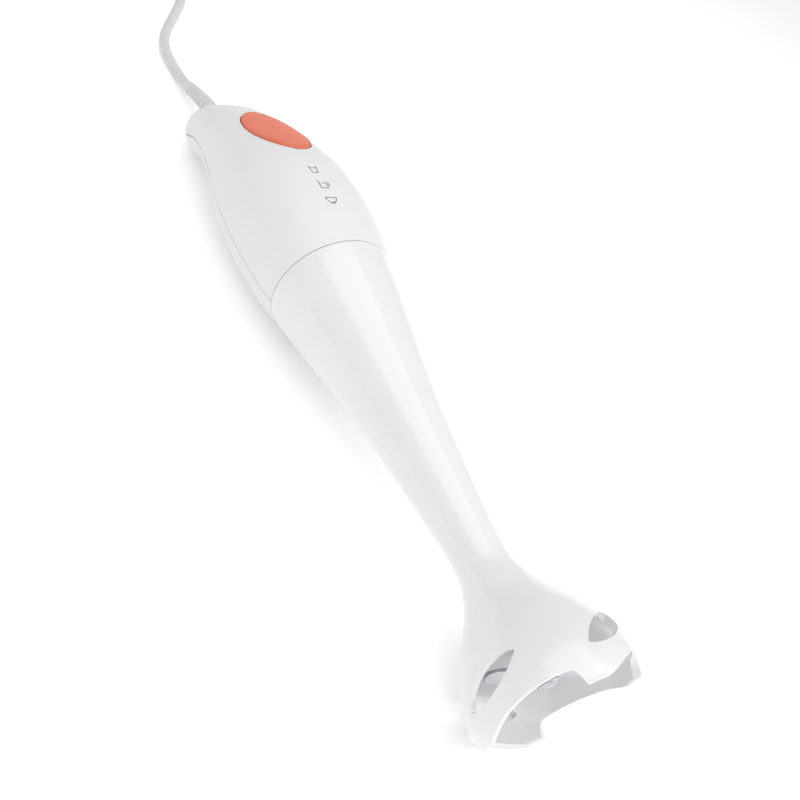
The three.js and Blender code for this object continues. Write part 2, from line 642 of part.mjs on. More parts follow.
function carbonBrush(side) {
  const inner = COMMUTATOR_RADIUS + GAP;
  const brush = cut(
    box(BRUSH_WIDTH, BRUSH_LENGTH, BRUSH_HEIGHT, 0, inner + BRUSH_LENGTH / 2, 0),
    rod(-BRUSH_WIDTH, BRUSH_WIDTH, COMMUTATOR_RADIUS + GAP / 2, FINE));
  return atCommutator(brush, side);
}

function brushSpring(side) {
  const from = COMMUTATOR_RADIUS + GAP + BRUSH_LENGTH + GAP;
  const to = COMMUTATOR_RADIUS + HOLDER_REACH - HOLDER_END - GAP;
  return atCommutator(springCoil(from, to, 1.7, 0.25, 3).rotate([-90, 0, 0]), side);
}

function commutator() {
  const end = COMMUTATOR_AT + COMMUTATOR_LENGTH;
  const body = ring(COMMUTATOR_AT, end, SHAFT_RADIUS + GAP / 2, COMMUTATOR_RADIUS, FINE);
  const bars = Array.from({ length: BARS }, (_, i) =>
    box(COMMUTATOR_LENGTH + 2, 0.6, 1.6, COMMUTATOR_AT + COMMUTATOR_LENGTH / 2, 0, COMMUTATOR_RADIUS)
      .rotate([((i + 0.5) * 360) / BARS, 0, 0]));
  return cut(body, ...bars);
}

// A rubber ring round a bracket, open on the button's side.
const mountRing = (at, reach) => cut(
  ring(at, at + BRACKET, reach + GAP, reach + 2.4, FINE),
  box(4 * BRACKET, 2 * reach, reach, at, 0, 1.3 * reach));

// ---------------------------------------------------------------- drive

const BLADE_NUT_AT = 9.5;
const NUT_RADIUS = 4.5;
const NUT_DOME = 1.2;
const HUB_RADIUS = 5.5;
const COUPLING_AT = 190;
const COUPLING_RADIUS = 7.5;
const HALF_COUPLING = 5;
const DOG = 3;
const hubTop = BOSS_AT - 0.6;
const bladeTop = BLADE_AT + BLADE_THICKNESS / 2;
const bladeBase = BLADE_AT - BLADE_THICKNESS / 2;
const couplingSplit = COUPLING_AT + HALF_COUPLING;
const driverAt = couplingSplit + GAP + DOG;

// One wing of the blade, drawn flat, then bent about the line where it leaves the middle.
function bladeWing(side, bend) {
  const shape = new THREE.Shape();
  shape.moveTo(-6, 0);
  shape.lineTo(-5.4, BLADE_REACH - 9);
  shape.quadraticCurveTo(-3.5, BLADE_REACH - 1.5, 3.4, BLADE_REACH - 6);
  shape.quadraticCurveTo(5.6, 8, 5.2, 0);
  shape.closePath();
  const wing = plate(shape, -BLADE_THICKNESS / 2, BLADE_THICKNESS / 2, 8);
  return wing.rotate([bend, 0, 0]).translate([0, 5.5, 0]).rotate([0, 0, side > 0 ? 0 : 180]);
}

function blade() {
  const middle = plate(ovalShape(15, 15, ROUND), -BLADE_THICKNESS / 2, BLADE_THICKNESS / 2);
  const flat = join(middle, bladeWing(1, 17), bladeWing(-1, -14));
  const standing = flat.transform(new THREE.Matrix4().makeRotationY(Math.PI / 2).toArray());
  return cut(standing.translate([BLADE_AT, 0, 0]), rod(0, 40, SHAFT_RADIUS + GAP / 2, SMALL));
}

// A half of the dog coupling: a disc with three dogs that reach into the other half.
function halfCoupling(from, to, dogFrom, dogTo, turn) {
  const disc = rod(from, to, COUPLING_RADIUS);
  const dogs = [0, 120, 240].map((angle) =>
    box(dogTo - dogFrom + GAP, 4.2, 3.4, (dogFrom + dogTo) / 2, 0, COUPLING_RADIUS - 2)
      .rotate([angle + turn, 0, 0]).intersect(rod(from - 10, to + 10, COUPLING_RADIUS)));
  return cut(join(disc, ...dogs), rod(from - 10, to + 10, SHAFT_RADIUS + GAP / 2, SMALL));
}

// ---------------------------------------------------------------- wires

const boardUnder = -BOARD_THICKNESS + BOARD_AT - 0.5;
const boardPoint = (along, aside) =>
  new THREE.Vector3(along, aside, boardUnder).applyMatrix4(buttonFrame).toArray();
const innerCordEnd = CLAMP_AT - 7;

const mainsWire = (side) => tube(smooth([
  [innerCordEnd - GAP, side * 1.4, RELIEF_Z - 2],
  [innerCordEnd - 5, side * 3, RELIEF_Z - 1],
  [innerCordEnd - 9, side * 6, -10],
  boardPoint(17.5, side * 5).map((value, i) => value - (i === 2 ? 1.5 : 0)),
  boardPoint(17.5, side * 5),
]), 0.9, 10, 6);

const motorLead = (side) => tube(smooth([
  boardPoint(-17, side * 9),
  boardPoint(-17, side * 9).map((value, i) => value - (i === 2 ? 2 : 0)),
  [COMMUTATOR_AT + 15.5, side * 14, 8.5],
  [COMMUTATOR_AT + 9.5, side * 17, 7.6],
  [COMMUTATOR_AT + COMMUTATOR_LENGTH / 2 + 1, side * 18, 5.9],
]), 0.8, 10, 6);

// ---------------------------------------------------------------- cord

const FLOOR = -AXIS_HEIGHT;
const CORD_Z = FLOOR + CORD_RADIUS;
const COIL_AT = 559;
const COIL_Y = 5;
const COIL_INNER = 21;
const COIL_OUTER = 45;
const COIL_HEIGHT = 11.9;
const COIL_LEAD = 26; // how far before its tangent point the cord meets the coil's solid
const COIL_EXIT = 30; // how far past its tangent point the cord is clear of the coil
const PLUG_AT = 627;
const PLUG_Z = FLOOR + 6.9;
const PLUG_Y = -22;
const TIE_WIDTH = 8;
const TIE = 0.9;

const GROOVES = 6; // round the strain relief
const GROOVE_DEPTH = 1.1;
const reliefCurve = smooth([
  [RELIEF_START, 0, RELIEF_Z], [RELIEF_START + 9, 0, RELIEF_Z], [RELIEF_START + 23, 0, RELIEF_Z - 1],
  [RELIEF_START + 40, 0, RELIEF_Z - 4.6], [RELIEF_START + RELIEF_LENGTH - 1, 0, RELIEF_Z - 9.4],
]);

function strainRelief() {
  const taper = (share) => RELIEF_RADIUS + (RELIEF_TIP_RADIUS - RELIEF_RADIUS) * share;
  const flangeEnd = RELIEF_FLANGE / RELIEF_LENGTH;
  const radii = [
    [0, RELIEF_FLANGE_RADIUS], [flangeEnd, RELIEF_FLANGE_RADIUS], [flangeEnd + 0.002, RELIEF_RADIUS],
  ];
  for (let groove = 0; groove < GROOVES; groove++) {
    const share = 0.36 + groove * 0.085;
    const radius = taper(share);
    const floor = radius - GROOVE_DEPTH;
    radii.push([share, radius], [share + 0.012, floor], [share + 0.028, floor], [share + 0.04, radius]);
  }
  radii.push([0.97, taper(0.97)], [1, RELIEF_TIP_RADIUS - 0.3]);
  return taperedTube(reliefCurve, radii, 12);
}

// The cord from the strain relief to the coil, and from the coil to the plug.
const FIRST_STRETCH = [
  [RELIEF_START + RELIEF_LENGTH - 0.6, 0, RELIEF_Z - 9.5], [417, 0, -28.8], [428, 0.3, CORD_Z],
  [441, 0.6, CORD_Z], [453, -0.8, CORD_Z], [465, -4.6, CORD_Z], [477, -10.2, CORD_Z],
  [489, -16.8, CORD_Z], [501, -23.4, CORD_Z], [512, -28.9, CORD_Z], [522, -32.9, CORD_Z],
  [COIL_AT - COIL_LEAD, COIL_Y - COIL_OUTER + CORD_RADIUS + 1, CORD_Z],
];
const LAST_STRETCH = [
  [COIL_AT + COIL_EXIT, COIL_Y - COIL_OUTER + 2 * CORD_RADIUS, CORD_Z + 4.4],
  [PLUG_AT - 30, -32.6, CORD_Z + 2.6], [PLUG_AT - 21, -29, CORD_Z + 1.8], [PLUG_AT - 13, -24.6, CORD_Z + 2.6],
  [PLUG_AT - 6, PLUG_Y, PLUG_Z - 0.2], [PLUG_AT - GAP, PLUG_Y, PLUG_Z],
];

const cordCoil = () => {
  const outline = [
    [COIL_INNER, 0], [COIL_OUTER, 0], [COIL_OUTER, 6], [COIL_OUTER - 3, COIL_HEIGHT],
    [COIL_INNER + 3, COIL_HEIGHT], [COIL_INNER, 6], [COIL_INNER, 0],
  ].map(([x, y]) => new THREE.Vector2(x, y));
  const body = solid(new THREE.LatheGeometry(outline, 28).rotateX(Math.PI / 2));
  const notch = box(TIE_WIDTH + 2 * GAP, 30, 2 * (TIE + GAP), 0, (COIL_INNER + COIL_OUTER) / 2, 0);
  return cut(body, notch).translate([COIL_AT, COIL_Y, FLOOR]);
};

const coilTie = () => {
  const middle = (COIL_INNER + COIL_OUTER) / 2;
  const wide = COIL_OUTER - COIL_INNER + 2;
  const high = COIL_HEIGHT + GAP;
  const outer = box(TIE_WIDTH, wide + 2 * TIE, high + 2 * TIE, 0, middle, high / 2 + TIE);
  const inner = box(2 * TIE_WIDTH, wide, high, 0, middle, high / 2 + TIE);
  return cut(outer, inner).translate([COIL_AT, COIL_Y, FLOOR]);
};

const PLUG_TAIL = 16;
const PLUG_BODY = 36;
const PIN_LENGTH = 19;
const PIN_RADIUS = 2;
const PIN_SPACING = 18.6;
const PIN_SOCKET = 8; // how deep a pin sits in the plug
const plugEnd = PLUG_AT + PLUG_TAIL + PLUG_BODY;

function plugBody() {
  const sections = [
    [0, 4.2, 4.2], [PLUG_TAIL, 5.4, 5.4], [PLUG_TAIL + 3, 9, 6.2], [PLUG_TAIL + 9, 12.4, 6.8],
    [PLUG_TAIL + PLUG_BODY - 2, 13, 6.8], [PLUG_TAIL + PLUG_BODY, 12, 6],
  ];
  const rings = sections.map(([x, half, high]) => Array.from({ length: 24 }, (_, i) => {
    const angle = (2 * Math.PI * i) / 24;
    const bend = (value) => Math.sign(value) * Math.abs(value) ** 0.72;
    return new THREE.Vector3(
      PLUG_AT + x, PLUG_Y + half * bend(Math.cos(angle)), PLUG_Z + high * bend(Math.sin(angle)));
  }));
  const pinHoles = [-1, 1].map((side) =>
    rod(plugEnd - PIN_SOCKET, plugEnd + OVERRUN, PIN_RADIUS + GAP / 2, SMALL)
      .translate([0, PLUG_Y + (side * PIN_SPACING) / 2, PLUG_Z]));
  return cut(loft(rings), ...pinHoles);
}

const plugPin = (side) => {
  const from = plugEnd - PIN_SOCKET + GAP;
  const to = plugEnd + PIN_LENGTH;
  return turned([[from, 0], [from, PIN_RADIUS], [to - 1, PIN_RADIUS], [to, PIN_RADIUS - 1], [to, 0]], SMALL)
    .translate([0, PLUG_Y + (side * PIN_SPACING) / 2, PLUG_Z]);
};

// ---------------------------------------------------------------- fasteners

const screw = (x, y, seat, radius, headRadius, length) => join(
  post(x, y, seat - 1.8, seat - 0.05, headRadius),
  post(x, y, seat - 0.5, seat + length, radius));

// ---------------------------------------------------------------- assembly

const blender = new THREE.Group();
const add = (name, body, material) => piece(blender, name, body, material);

add('leg_housing', legHousing(), glossWhite);
add('front_shell', frontShell(), whitePlastic);
add('rear_shell', rearShell(), whitePlastic);
add('button_cap', buttonCap(), coral);

add('circuit_board', atButton(circuitBoard()), boardGreen);
add('switch_body', atButton(switchBody()), blackPlastic);
add('switch_plunger', atButton(post(0, 0, plungerTop - 4.5, plungerTop, PLUNGER_RADIUS)), brownWire);
add('button_spring', atButton(springCoil(
  BOARD_AT + GAP, flangeBase - GAP, SPRING_RADIUS, SPRING_WIRE, SPRING_TURNS)
  .translate([SPRING_AT, 0, 0])), steel);
add('suppression_capacitor', atButton(box(16, 7, 12, 7, -5, BOARD_AT - BOARD_THICKNESS - 6.4)), yellowFilm);
for (const side of [-1, 1]) {
  const under = BOARD_AT - BOARD_THICKNESS;
  add(`choke_coil_${side > 0 ? 1 : 2}`, atButton(post(-6, side * 8.4, under - 10, under - GAP, 3.6)), copper);
}
add('fuse', atButton(box(9.6, 3.6, 3.6, -16, 0, BOARD_AT + 2.2)), blackPlastic);

add('field_core', fieldCore(), lamination);
add('field_coil_1', fieldCoil(1), copper);
add('field_coil_2', fieldCoil(-1), copper);
add('armature_core', armatureCore(), lamination);
add('armature_winding_lower', winding(STATOR_AT - 4.2, STATOR_AT - GAP), copper);
add('armature_winding_upper', winding(statorTop + GAP, statorTop + 5.2), copper);
add('commutator', commutator(), copper);
add('motor_shaft', rod(driverAt - DOG + 1, UPPER_BRACKET_AT + 5, SHAFT_RADIUS, SMALL), steel);
add('cooling_fan', coolingFan(), blackPlastic);
add('lower_bracket', bracket(LOWER_BRACKET_AT, 25, -1), steel);
add('upper_bracket', bracket(UPPER_BRACKET_AT, 23.5, 1), blackPlastic);
add('lower_bearing', bearing(LOWER_BRACKET_AT - BEARING_LENGTH + BRACKET), steel);
add('upper_bearing', bearing(UPPER_BRACKET_AT + 1.2), steel);
add('lower_motor_mount', mountRing(LOWER_BRACKET_AT, 25), greyRubber);
add('upper_motor_mount', mountRing(UPPER_BRACKET_AT, 23.5), greyRubber);
for (const side of [-1, 1]) {
  const number = side > 0 ? 1 : 2;
  add(`brush_holder_${number}`, brushHolder(side), brass);
  add(`carbon_brush_${number}`, carbonBrush(side), carbon);
  add(`brush_spring_${number}`, brushSpring(side), steel);
  add(`motor_lead_${number}`, motorLead(side), side > 0 ? brownWire : blueWire);
  add(`mains_wire_${number}`, mainsWire(side), side > 0 ? brownWire : blueWire);
}

const driver = halfCoupling(driverAt, driverAt + HALF_COUPLING, couplingSplit + GAP, driverAt, 0);
const driven = halfCoupling(COUPLING_AT, couplingSplit, couplingSplit, driverAt - GAP, 60);
add('motor_coupling', driver, blackPlastic);
add('shaft_coupling', driven, blackPlastic);
add('drive_shaft', rod(BLADE_NUT_AT + 1.5, couplingSplit, SHAFT_RADIUS, SMALL), steel);
const bush = (from, to) => ring(from, to, SHAFT_RADIUS + RUNNING / 2, bushRadius - GAP / 2);
const shaftBore = (from) => rod(from, NECK_AT, SHAFT_RADIUS + GAP / 2, SMALL);
add('lower_bush', bush(BELL_CEILING_AT + 3 + GAP, bushTop), brass);
add('upper_bush', bush(UPPER_WEB_AT - WEB, UPPER_WEB_AT + 2 * WEB - 2 - GAP), brass);
add('shaft_seal',
  ring(BOSS_AT + 1, SEAL_TOP - GAP, SHAFT_RADIUS + RUNNING, SEAL_RADIUS - GAP / 2), blackPlastic);
add('blade_hub', cut(turned([
  [bladeTop + GAP, 0], [bladeTop + GAP, HUB_RADIUS], [bladeTop + 4, HUB_RADIUS],
  [hubTop - 1, HUB_RADIUS - 1], [hubTop, HUB_RADIUS - 1], [hubTop, 0],
]), shaftBore(0)), blackPlastic);
add('blade', blade(), steel);
add('blade_nut', cut(turned([
  [BLADE_NUT_AT, 0], [BLADE_NUT_AT, NUT_RADIUS / 2], [BLADE_NUT_AT + NUT_DOME, NUT_RADIUS - 0.3],
  [bladeBase - GAP, NUT_RADIUS], [bladeBase - GAP, 0],
], SMALL), shaftBore(BLADE_NUT_AT + NUT_DOME)), steel);

add('strain_relief', strainRelief(), greyRubber);
const clampBase = RELIEF_Z + CORD_RADIUS + GAP;
const clampBar = plate(roundedShape(6.5, 22, 2), clampBase, clampBase + 2.5, 6).translate([CLAMP_AT, 0, 0]);
const clampHoles = [-1, 1].map((side) =>
  post(CLAMP_AT, side * CLAMP_ASIDE, -20, -5, CLAMP_SCREW_RADIUS + GAP));
const innerCord = rod(innerCordEnd, RELIEF_START - GAP, CORD_RADIUS, SMALL);
add('inner_cord', innerCord.translate([0, 0, RELIEF_Z]), greyRubber);
add('cord_clamp', cut(clampBar, ...clampHoles), whitePlastic);
for (const side of [-1, 1]) {
  const number = side > 0 ? 1 : 2;
  const clampTop = clampBase + 2.5 + GAP / 2;
  add(`clamp_screw_${number}`, join(
    post(CLAMP_AT, side * CLAMP_ASIDE, clampTop, clampTop + 1.6, CLAMP_SCREW_RADIUS + 1.3),
    post(CLAMP_AT, side * CLAMP_ASIDE, -23.5, clampTop + 0.5, CLAMP_SCREW_RADIUS)), steel);
  add(`housing_screw_${number}`,
    screw(SCREW_AT, side * SCREW_ASIDE, SCREW_SEAT, SCREW_RADIUS, SCREW_HEAD_RADIUS, SCREW_LENGTH), steel);
}

add('power_cord', tube(smooth(FIRST_STRETCH), CORD_RADIUS, 20, 10), greyRubber);
add('cord_coil', cordCoil(), greyRubber);
add('coil_tie', coilTie(), blackPlastic);
add('plug_lead', tube(smooth(LAST_STRETCH), CORD_RADIUS, 6, 10), greyRubber);
add('plug_body', plugBody(), greyRubber);
add('plug_pin_1', plugPin(1), brass);
add('plug_pin_2', plugPin(-1), brass);

// The middle of the body, from the feet to the head, comes to x = 0.
const bodyBox = new THREE.Box3();
for (const mesh of blender.children) {
  if (['leg_housing', 'front_shell', 'rear_shell'].includes(mesh.name)) bodyBox.expandByObject(mesh);
}
blender.position.set(-(bodyBox.min.x + bodyBox.max.x) / 2, 0, AXIS_HEIGHT);

const scene = new THREE.Group();
scene.add(blender);
export default scene;
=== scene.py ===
"""A corded immersion blender that lies on its back with its button up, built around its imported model."""
import math

import bpy
from mathutils import Matrix, Vector


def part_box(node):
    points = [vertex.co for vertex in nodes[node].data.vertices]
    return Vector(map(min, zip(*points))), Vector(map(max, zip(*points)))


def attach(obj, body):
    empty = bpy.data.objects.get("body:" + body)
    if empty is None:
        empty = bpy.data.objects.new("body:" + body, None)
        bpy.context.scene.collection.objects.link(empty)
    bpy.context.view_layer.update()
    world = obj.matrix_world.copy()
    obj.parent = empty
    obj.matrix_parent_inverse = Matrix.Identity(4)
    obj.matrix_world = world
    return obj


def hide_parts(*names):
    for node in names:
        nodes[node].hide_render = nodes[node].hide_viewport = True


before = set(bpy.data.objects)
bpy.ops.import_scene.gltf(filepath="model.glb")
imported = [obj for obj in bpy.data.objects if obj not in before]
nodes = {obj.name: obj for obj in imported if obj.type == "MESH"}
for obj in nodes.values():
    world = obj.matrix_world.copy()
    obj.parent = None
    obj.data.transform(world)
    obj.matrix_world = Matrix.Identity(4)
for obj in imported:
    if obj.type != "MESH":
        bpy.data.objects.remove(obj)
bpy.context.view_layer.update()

# ---------------------------------------------------------------- sizes, in millimetres

MM = 0.001
FEET_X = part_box("leg_housing")[0].x
AXIS_HEIGHT = 32.5
BODY_LENGTH = 362
SEAM_AT = 205
SEAM_RADIUS = 29.5
GAP = 0.3
WALL = 2.2
BELL_WALL = 2.5
BELL_RADIUS = 32.5
LEG_WALL = 2.3
SPIGOT_INSET = 2.4
SHAFT_RADIUS = 2.5

# The leg's outside: height above the feet and radius.
LEG = [
    (0, 31.6), (7, 32.5), (14, 31.6), (20, 29.7), (26, 26.9), (32, 23.6), (38, 19.5), (44, 15.6), (50, 13),
    (56, 11.1), (63, 10.5), (72, 11), (86, 12.3), (104, 14.1), (124, 16.4), (148, 20), (176, 24.9),
    (SEAM_AT, SEAM_RADIUS),
]
# The handle's outside: height, half width, reach to the button's side, reach to the back, squareness.
HANDLE = [
    (SEAM_AT, SEAM_RADIUS, SEAM_RADIUS, SEAM_RADIUS, 2), (220, 31.6, 31.2, 31.6, 2.1),
    (240, 32.8, 32, 32.35, 2.2),
    (262, 32.3, 30.6, 32.4, 2.25), (280, 30.3, 26.6, 31.6, 2.3), (290, 28.8, 23.6, 28.6, 2.3),
    (300, 27.2, 20.2, 25, 2.3), (312, 25.8, 15.9, 22.8, 2.3), (325, 24.6, 10.9, 24.2, 2.3),
    (338, 23, 5.4, 29.4, 2.3), (348.5, 20.6, -0.8, 32.4, 2.25), (356, 16.2, -6.4, 31, 2.2),
    (360.5, 10.2, -11.6, 27, 2.1), (362, 3.6, -16.2, 21.6, 2),
]
# Where the two handle shells meet, seen from the side: height and distance from the axis.
JOINT_LINE = [
    (SEAM_AT - 20, -6.5), (BODY_LENGTH - 47, -6.5), (BODY_LENGTH - 32, -10), (BODY_LENGTH - 19, -17.5),
    (BODY_LENGTH + 20, -17.5),
]

FEET = 4
FOOT_ANGLE = 13.5  # degrees from the button's side to midway between two arches' cutters
FOOT_WIDTH = 14  # degrees between the nominal sides of those cutters
ARCH_HEIGHT = 6.6
# An arch's crown, the steep side first: shares of its height and of half its nominal width.
ARCH = [(0.1, -0.98), (0.5, -0.96), (0.82, -0.91), (0.96, -0.8), (1, -0.6), (0.97, -0.3), (0.85, 0),
        (0.66, 0.31), (0.43, 0.54), (0.21, 0.72), (0, 0.88), (-0.3, 1.05)]
SLOT = {"length": 26.5, "height": 8.4, "at": 15.8, "angle": 73, "slant": 19, "point": 1.5}

BUTTON_AT = 296
BUTTON_TILT = math.radians(18.5)
BUTTON_LENGTH = 54
BUTTON_WIDTH = 28
BUTTON_PROUD = 0.8
BUTTON_CLEARANCE = 0.45
THUMB_DISH = 0.75
SCREW_AT = 300
SCREW_ASIDE = 18.5

CORD_RADIUS = 3
CORD_Z = -29.5
RELIEF_AT = 349
RELIEF_Z = -17.5
RELIEF_LENGTH = 58
RELIEF_RADIUS = 5.2
RELIEF_TIP = 3.5
PLUG_Y = -22
PLUG_Z = -25.6
PIN_ASIDE = 9.3
BARE_PIN = 9.5
coil_low, coil_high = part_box("cord_coil")
COIL_AT = (((coil_low.x + coil_high.x) / 2 - FEET_X) / MM, (coil_low.y + coil_high.y) / 2 / MM)
COIL_OUTER = (coil_high.y - coil_low.y) / 2 / MM - CORD_RADIUS


def at(x, y, z):
    """A place in the blender's own frame as a place in the shared frame, in metres."""
    return Vector((FEET_X + x * MM, y * MM, (z + AXIS_HEIGHT) * MM))


def along(x, y, z):
    """A direction and distance in millimetres, in metres."""
    return Vector((x, y, z)) * MM


def spline(rows, share):
    """A point of the smooth line through the rows, a share of the way along them."""
    last = len(rows) - 1
    place = last * share
    index = min(int(place), last)
    t = place - index
    four = [rows[max(0, min(last, index + step))] for step in (-1, 0, 1, 2)]
    found = []
    for before, start, end, after in zip(*four):
        leave, arrive = (end - before) / 2, (after - start) / 2
        found.append((2 * start - 2 * end + leave + arrive) * t ** 3
                     + (3 * end - 3 * start - 2 * leave - arrive) * t ** 2 + leave * t + start)
    return tuple(found)


# ---------------------------------------------------------------- camera


CAMERA_PLACE = (-0.2256, 0.2011, 0.2762)
CAMERA_TILT = math.radians(40)  # the view's lean from the button's side
CAMERA_TURN = math.radians(30)
CAMERA_ROLL = math.radians(29)
LENS = 39.6


def make_camera():
    tilt, turn, roll = CAMERA_TILT, CAMERA_TURN, CAMERA_ROLL
    side = Vector((0, math.sin(tilt), math.cos(tilt)))
    axis = Vector((1, 0, 0))
    right = Vector((0, -math.cos(tilt), math.sin(tilt)))
    look = axis * math.sin(turn) - side * math.cos(turn)
    up = axis * math.cos(turn) + side * math.sin(turn)
    picture_up = up * math.cos(roll) + right * math.sin(roll)
    picture_right = right * math.cos(roll) - up * math.sin(roll)
    data = bpy.data.cameras.new("camera")
    data.lens = LENS
    data.sensor_width = 36
    data.clip_start, data.clip_end = 0.01, 20
    camera = bpy.data.objects.new("camera", data)
    bpy.context.scene.collection.objects.link(camera)
    turned_so = Matrix((picture_right, picture_up, -look)).transposed().to_4x4()
    camera.matrix_world = Matrix.Translation(CAMERA_PLACE) @ turned_so
    bpy.context.scene.camera = camera


make_camera()

# ---------------------------------------------------------------- finishes


class Wire:
    """A shader socket that can stand in a sum."""

    def __init__(self, finish, socket):
        self.finish, self.socket = finish, socket

    def _sum(self, operation, first, second):
        return self.finish.node("ShaderNodeMath", {"operation": operation}, {0: first, 1: second})

    def __add__(self, other):
        return self._sum("ADD", self, other)

    def __sub__(self, other):
        return self._sum("SUBTRACT", self, other)

    def __rsub__(self, other):
        return self._sum("SUBTRACT", other, self)

    def __mul__(self, other):
        return self._sum("MULTIPLY", self, other)

    def __gt__(self, other):
        return self._sum("GREATER_THAN", self, other)

    __radd__ = __add__


class Finish:
    """A material on one Principled shader: constants are set on its sockets, patterns are linked."""

    def __init__(self, name, **constants):
        self.material = bpy.data.materials.new(name)
        self.material.use_nodes = True
        self.tree = self.material.node_tree
        self.shader = self.tree.nodes["Principled BSDF"]
        self.place = self.node("ShaderNodeTexCoord", {}, {}, "Object")
        for socket, value in constants.items():
            self.set(socket.replace("_", " "), value)

    def node(self, kind, settings, sockets, output=0):
        made = self.tree.nodes.new(kind)
        for setting, value in settings.items():
            if setting == "stops":
                ramp = made.color_ramp.elements
                while len(ramp) < len(value):
                    ramp.new(0.5)
                for element, (position, colour) in zip(ramp, value):
                    element.position, element.color = position, colour
            else:
                setattr(made, setting, value)
        for socket, value in sockets.items():
            if isinstance(value, Wire):
                self.tree.links.new(value.socket, made.inputs[socket])
            else:
                made.inputs[socket].default_value = value
        return Wire(self, made.outputs[output])

    def set(self, socket, value):
        if isinstance(value, Wire):
            self.tree.links.new(value.socket, self.shader.inputs[socket])
        else:
            self.shader.inputs[socket].default_value = value

    def stretched(self, x=1, y=1, z=1):
        return self.node("ShaderNodeMapping", {}, {"Vector": self.place, "Scale": (x, y, z)})

    def noise(self, size, detail=2.0, place=None, roughness=0.5):
        """Clouds from 0 to 1 whose grains are about size millimetres across."""
        return self.node("ShaderNodeTexNoise", {"noise_dimensions": "3D"}, {
            "Vector": place or self.place, "Scale": 1 / (size * MM), "Detail": detail,
            "Roughness": roughness})

    def cells(self, size, place=None):
        return self.node("ShaderNodeTexVoronoi", {"feature": "F1"}, {
            "Vector": place or self.place, "Scale": 1 / (size * MM)}, "Distance")

    def bands(self, size, axis, distortion=0.0):
        """Waves across an axis, size millimetres from one to the next."""
        return self.node("ShaderNodeTexWave", {"wave_type": "BANDS", "bands_direction": axis}, {
            "Vector": self.place, "Scale": math.pi / 10 / (size * MM), "Distortion": distortion})

    def coordinate(self, axis):
        return self.node("ShaderNodeSeparateXYZ", {}, {"Vector": self.place}, axis)

    def ramp(self, value, *stops):
        full = [(position, (level, level, level, 1)) for position, level in stops]
        return self.node("ShaderNodeValToRGB", {"stops": full}, {"Fac": value})

    def mix(self, share, first, second):
        settings = {"data_type": "RGBA", "clamp_factor": True}
        return self.node("ShaderNodeMix", settings, {0: share, 6: first, 7: second}, 2)

    def bump(self, height, distance, strength=1.0, under=None):
        """Height from 0 to 1 raises the surface by distance millimetres."""
        sockets = {"Height": height, "Distance": distance * MM, "Strength": strength}
        if under:
            sockets["Normal"] = under
        return self.node("ShaderNodeBump", {}, sockets)


def rgb(red, green, blue):
    """A colour as a maker reads it off a chart, 0 to 255, in linear light."""
    return tuple((c / 255 / 12.92 if c <= 10 else ((c / 255 + 0.055) / 1.055) ** 2.4)
                 for c in (red, green, blue)) + (1,)


def darker(colour, share):
    return tuple(c * share for c in colour[:3]) + (1,)


def moulded(name, colour, roughness, grain=0.35, depth=0.006, strength=0.5, shade=0.965, **constants):
    """Moulded plastic: spark-eroded grain, faint clouds in the colour and hand-worn patches in the gloss."""
    made = Finish(name, **constants)
    clouds = made.noise(22, 3)
    fine = made.noise(grain, 3, roughness=0.6)
    specks = made.noise(1.7, 2)
    made.set("Base Color", made.mix(made.ramp(clouds, (0.3, 0), (0.75, 1)) * 0.7 + specks * 0.3,
                                    colour, darker(colour, shade)))
    made.set("Roughness", roughness + (clouds - 0.5) * 0.1 + (fine - 0.5) * 0.08)
    slow = made.bump(made.noise(14, 1), 0.02, 0.25)
    made.set("Normal", made.bump(fine, depth, strength, slow))
    return made


def finish_gloss_white():
    """High-gloss white of the leg: nearly mirror smooth, faint clouds, scuffs on the feet."""
    colour = rgb(228, 228, 229)
    made = Finish("gloss_white", Coat_Weight=0.35, Coat_Roughness=0.06)
    clouds = made.noise(30, 3)
    scuffs = made.noise(0.5, 4, made.stretched(1, 6, 6), 0.65)
    near_feet = made.ramp((made.coordinate("X") - FEET_X) * 1000, (0, 1), (1, 0))
    worn = made.ramp(scuffs, (0.52, 0), (0.62, 1)) * near_feet
    made.set("Base Color", made.mix(made.ramp(clouds, (0.35, 0), (0.7, 1)), colour, darker(colour, 0.975)))
    made.set("Roughness", 0.2 + (clouds - 0.5) * 0.06 + worn * 0.25)
    slow = made.bump(made.noise(18, 1), 0.03, 0.25)
    made.set("Normal", made.bump(made.noise(0.9, 2), 0.0025, 0.35, slow))
    return made


def finish_pvc():
    """Soft PVC of the cord and the strain relief: a fine satin skin with dust."""
    colour = rgb(212, 212, 212)
    made = Finish("soft_pvc")
    clouds = made.noise(9, 3)
    skin = made.noise(0.22, 3, roughness=0.6)
    made.set("Base Color", made.mix(made.ramp(clouds, (0.35, 0), (0.7, 1)), colour, darker(colour, 0.93)))
    made.set("Roughness", 0.46 + (clouds - 0.5) * 0.12 + (skin - 0.5) * 0.1)
    made.set("Normal", made.bump(skin, 0.008, 0.5, made.bump(made.noise(5, 2), 0.04, 0.3)))
    return made


def finish_steel(name, colour, roughness, size=0.12, across=(1, 1, 1), **constants):
    """Drawn or ground metal: hair lines and cloudy gloss."""
    made = Finish(name, Metallic=1.0, **constants)
    hair = made.noise(size, 4, made.stretched(*across), 0.7)
    clouds = made.noise(6, 3)
    made.set("Base Color", made.mix(clouds, colour, darker(colour, 0.86)))
    made.set("Roughness", roughness + (hair - 0.5) * 0.25 + (clouds - 0.5) * 0.1)
    made.set("Normal", made.bump(hair, 0.003, 0.5))
    return made


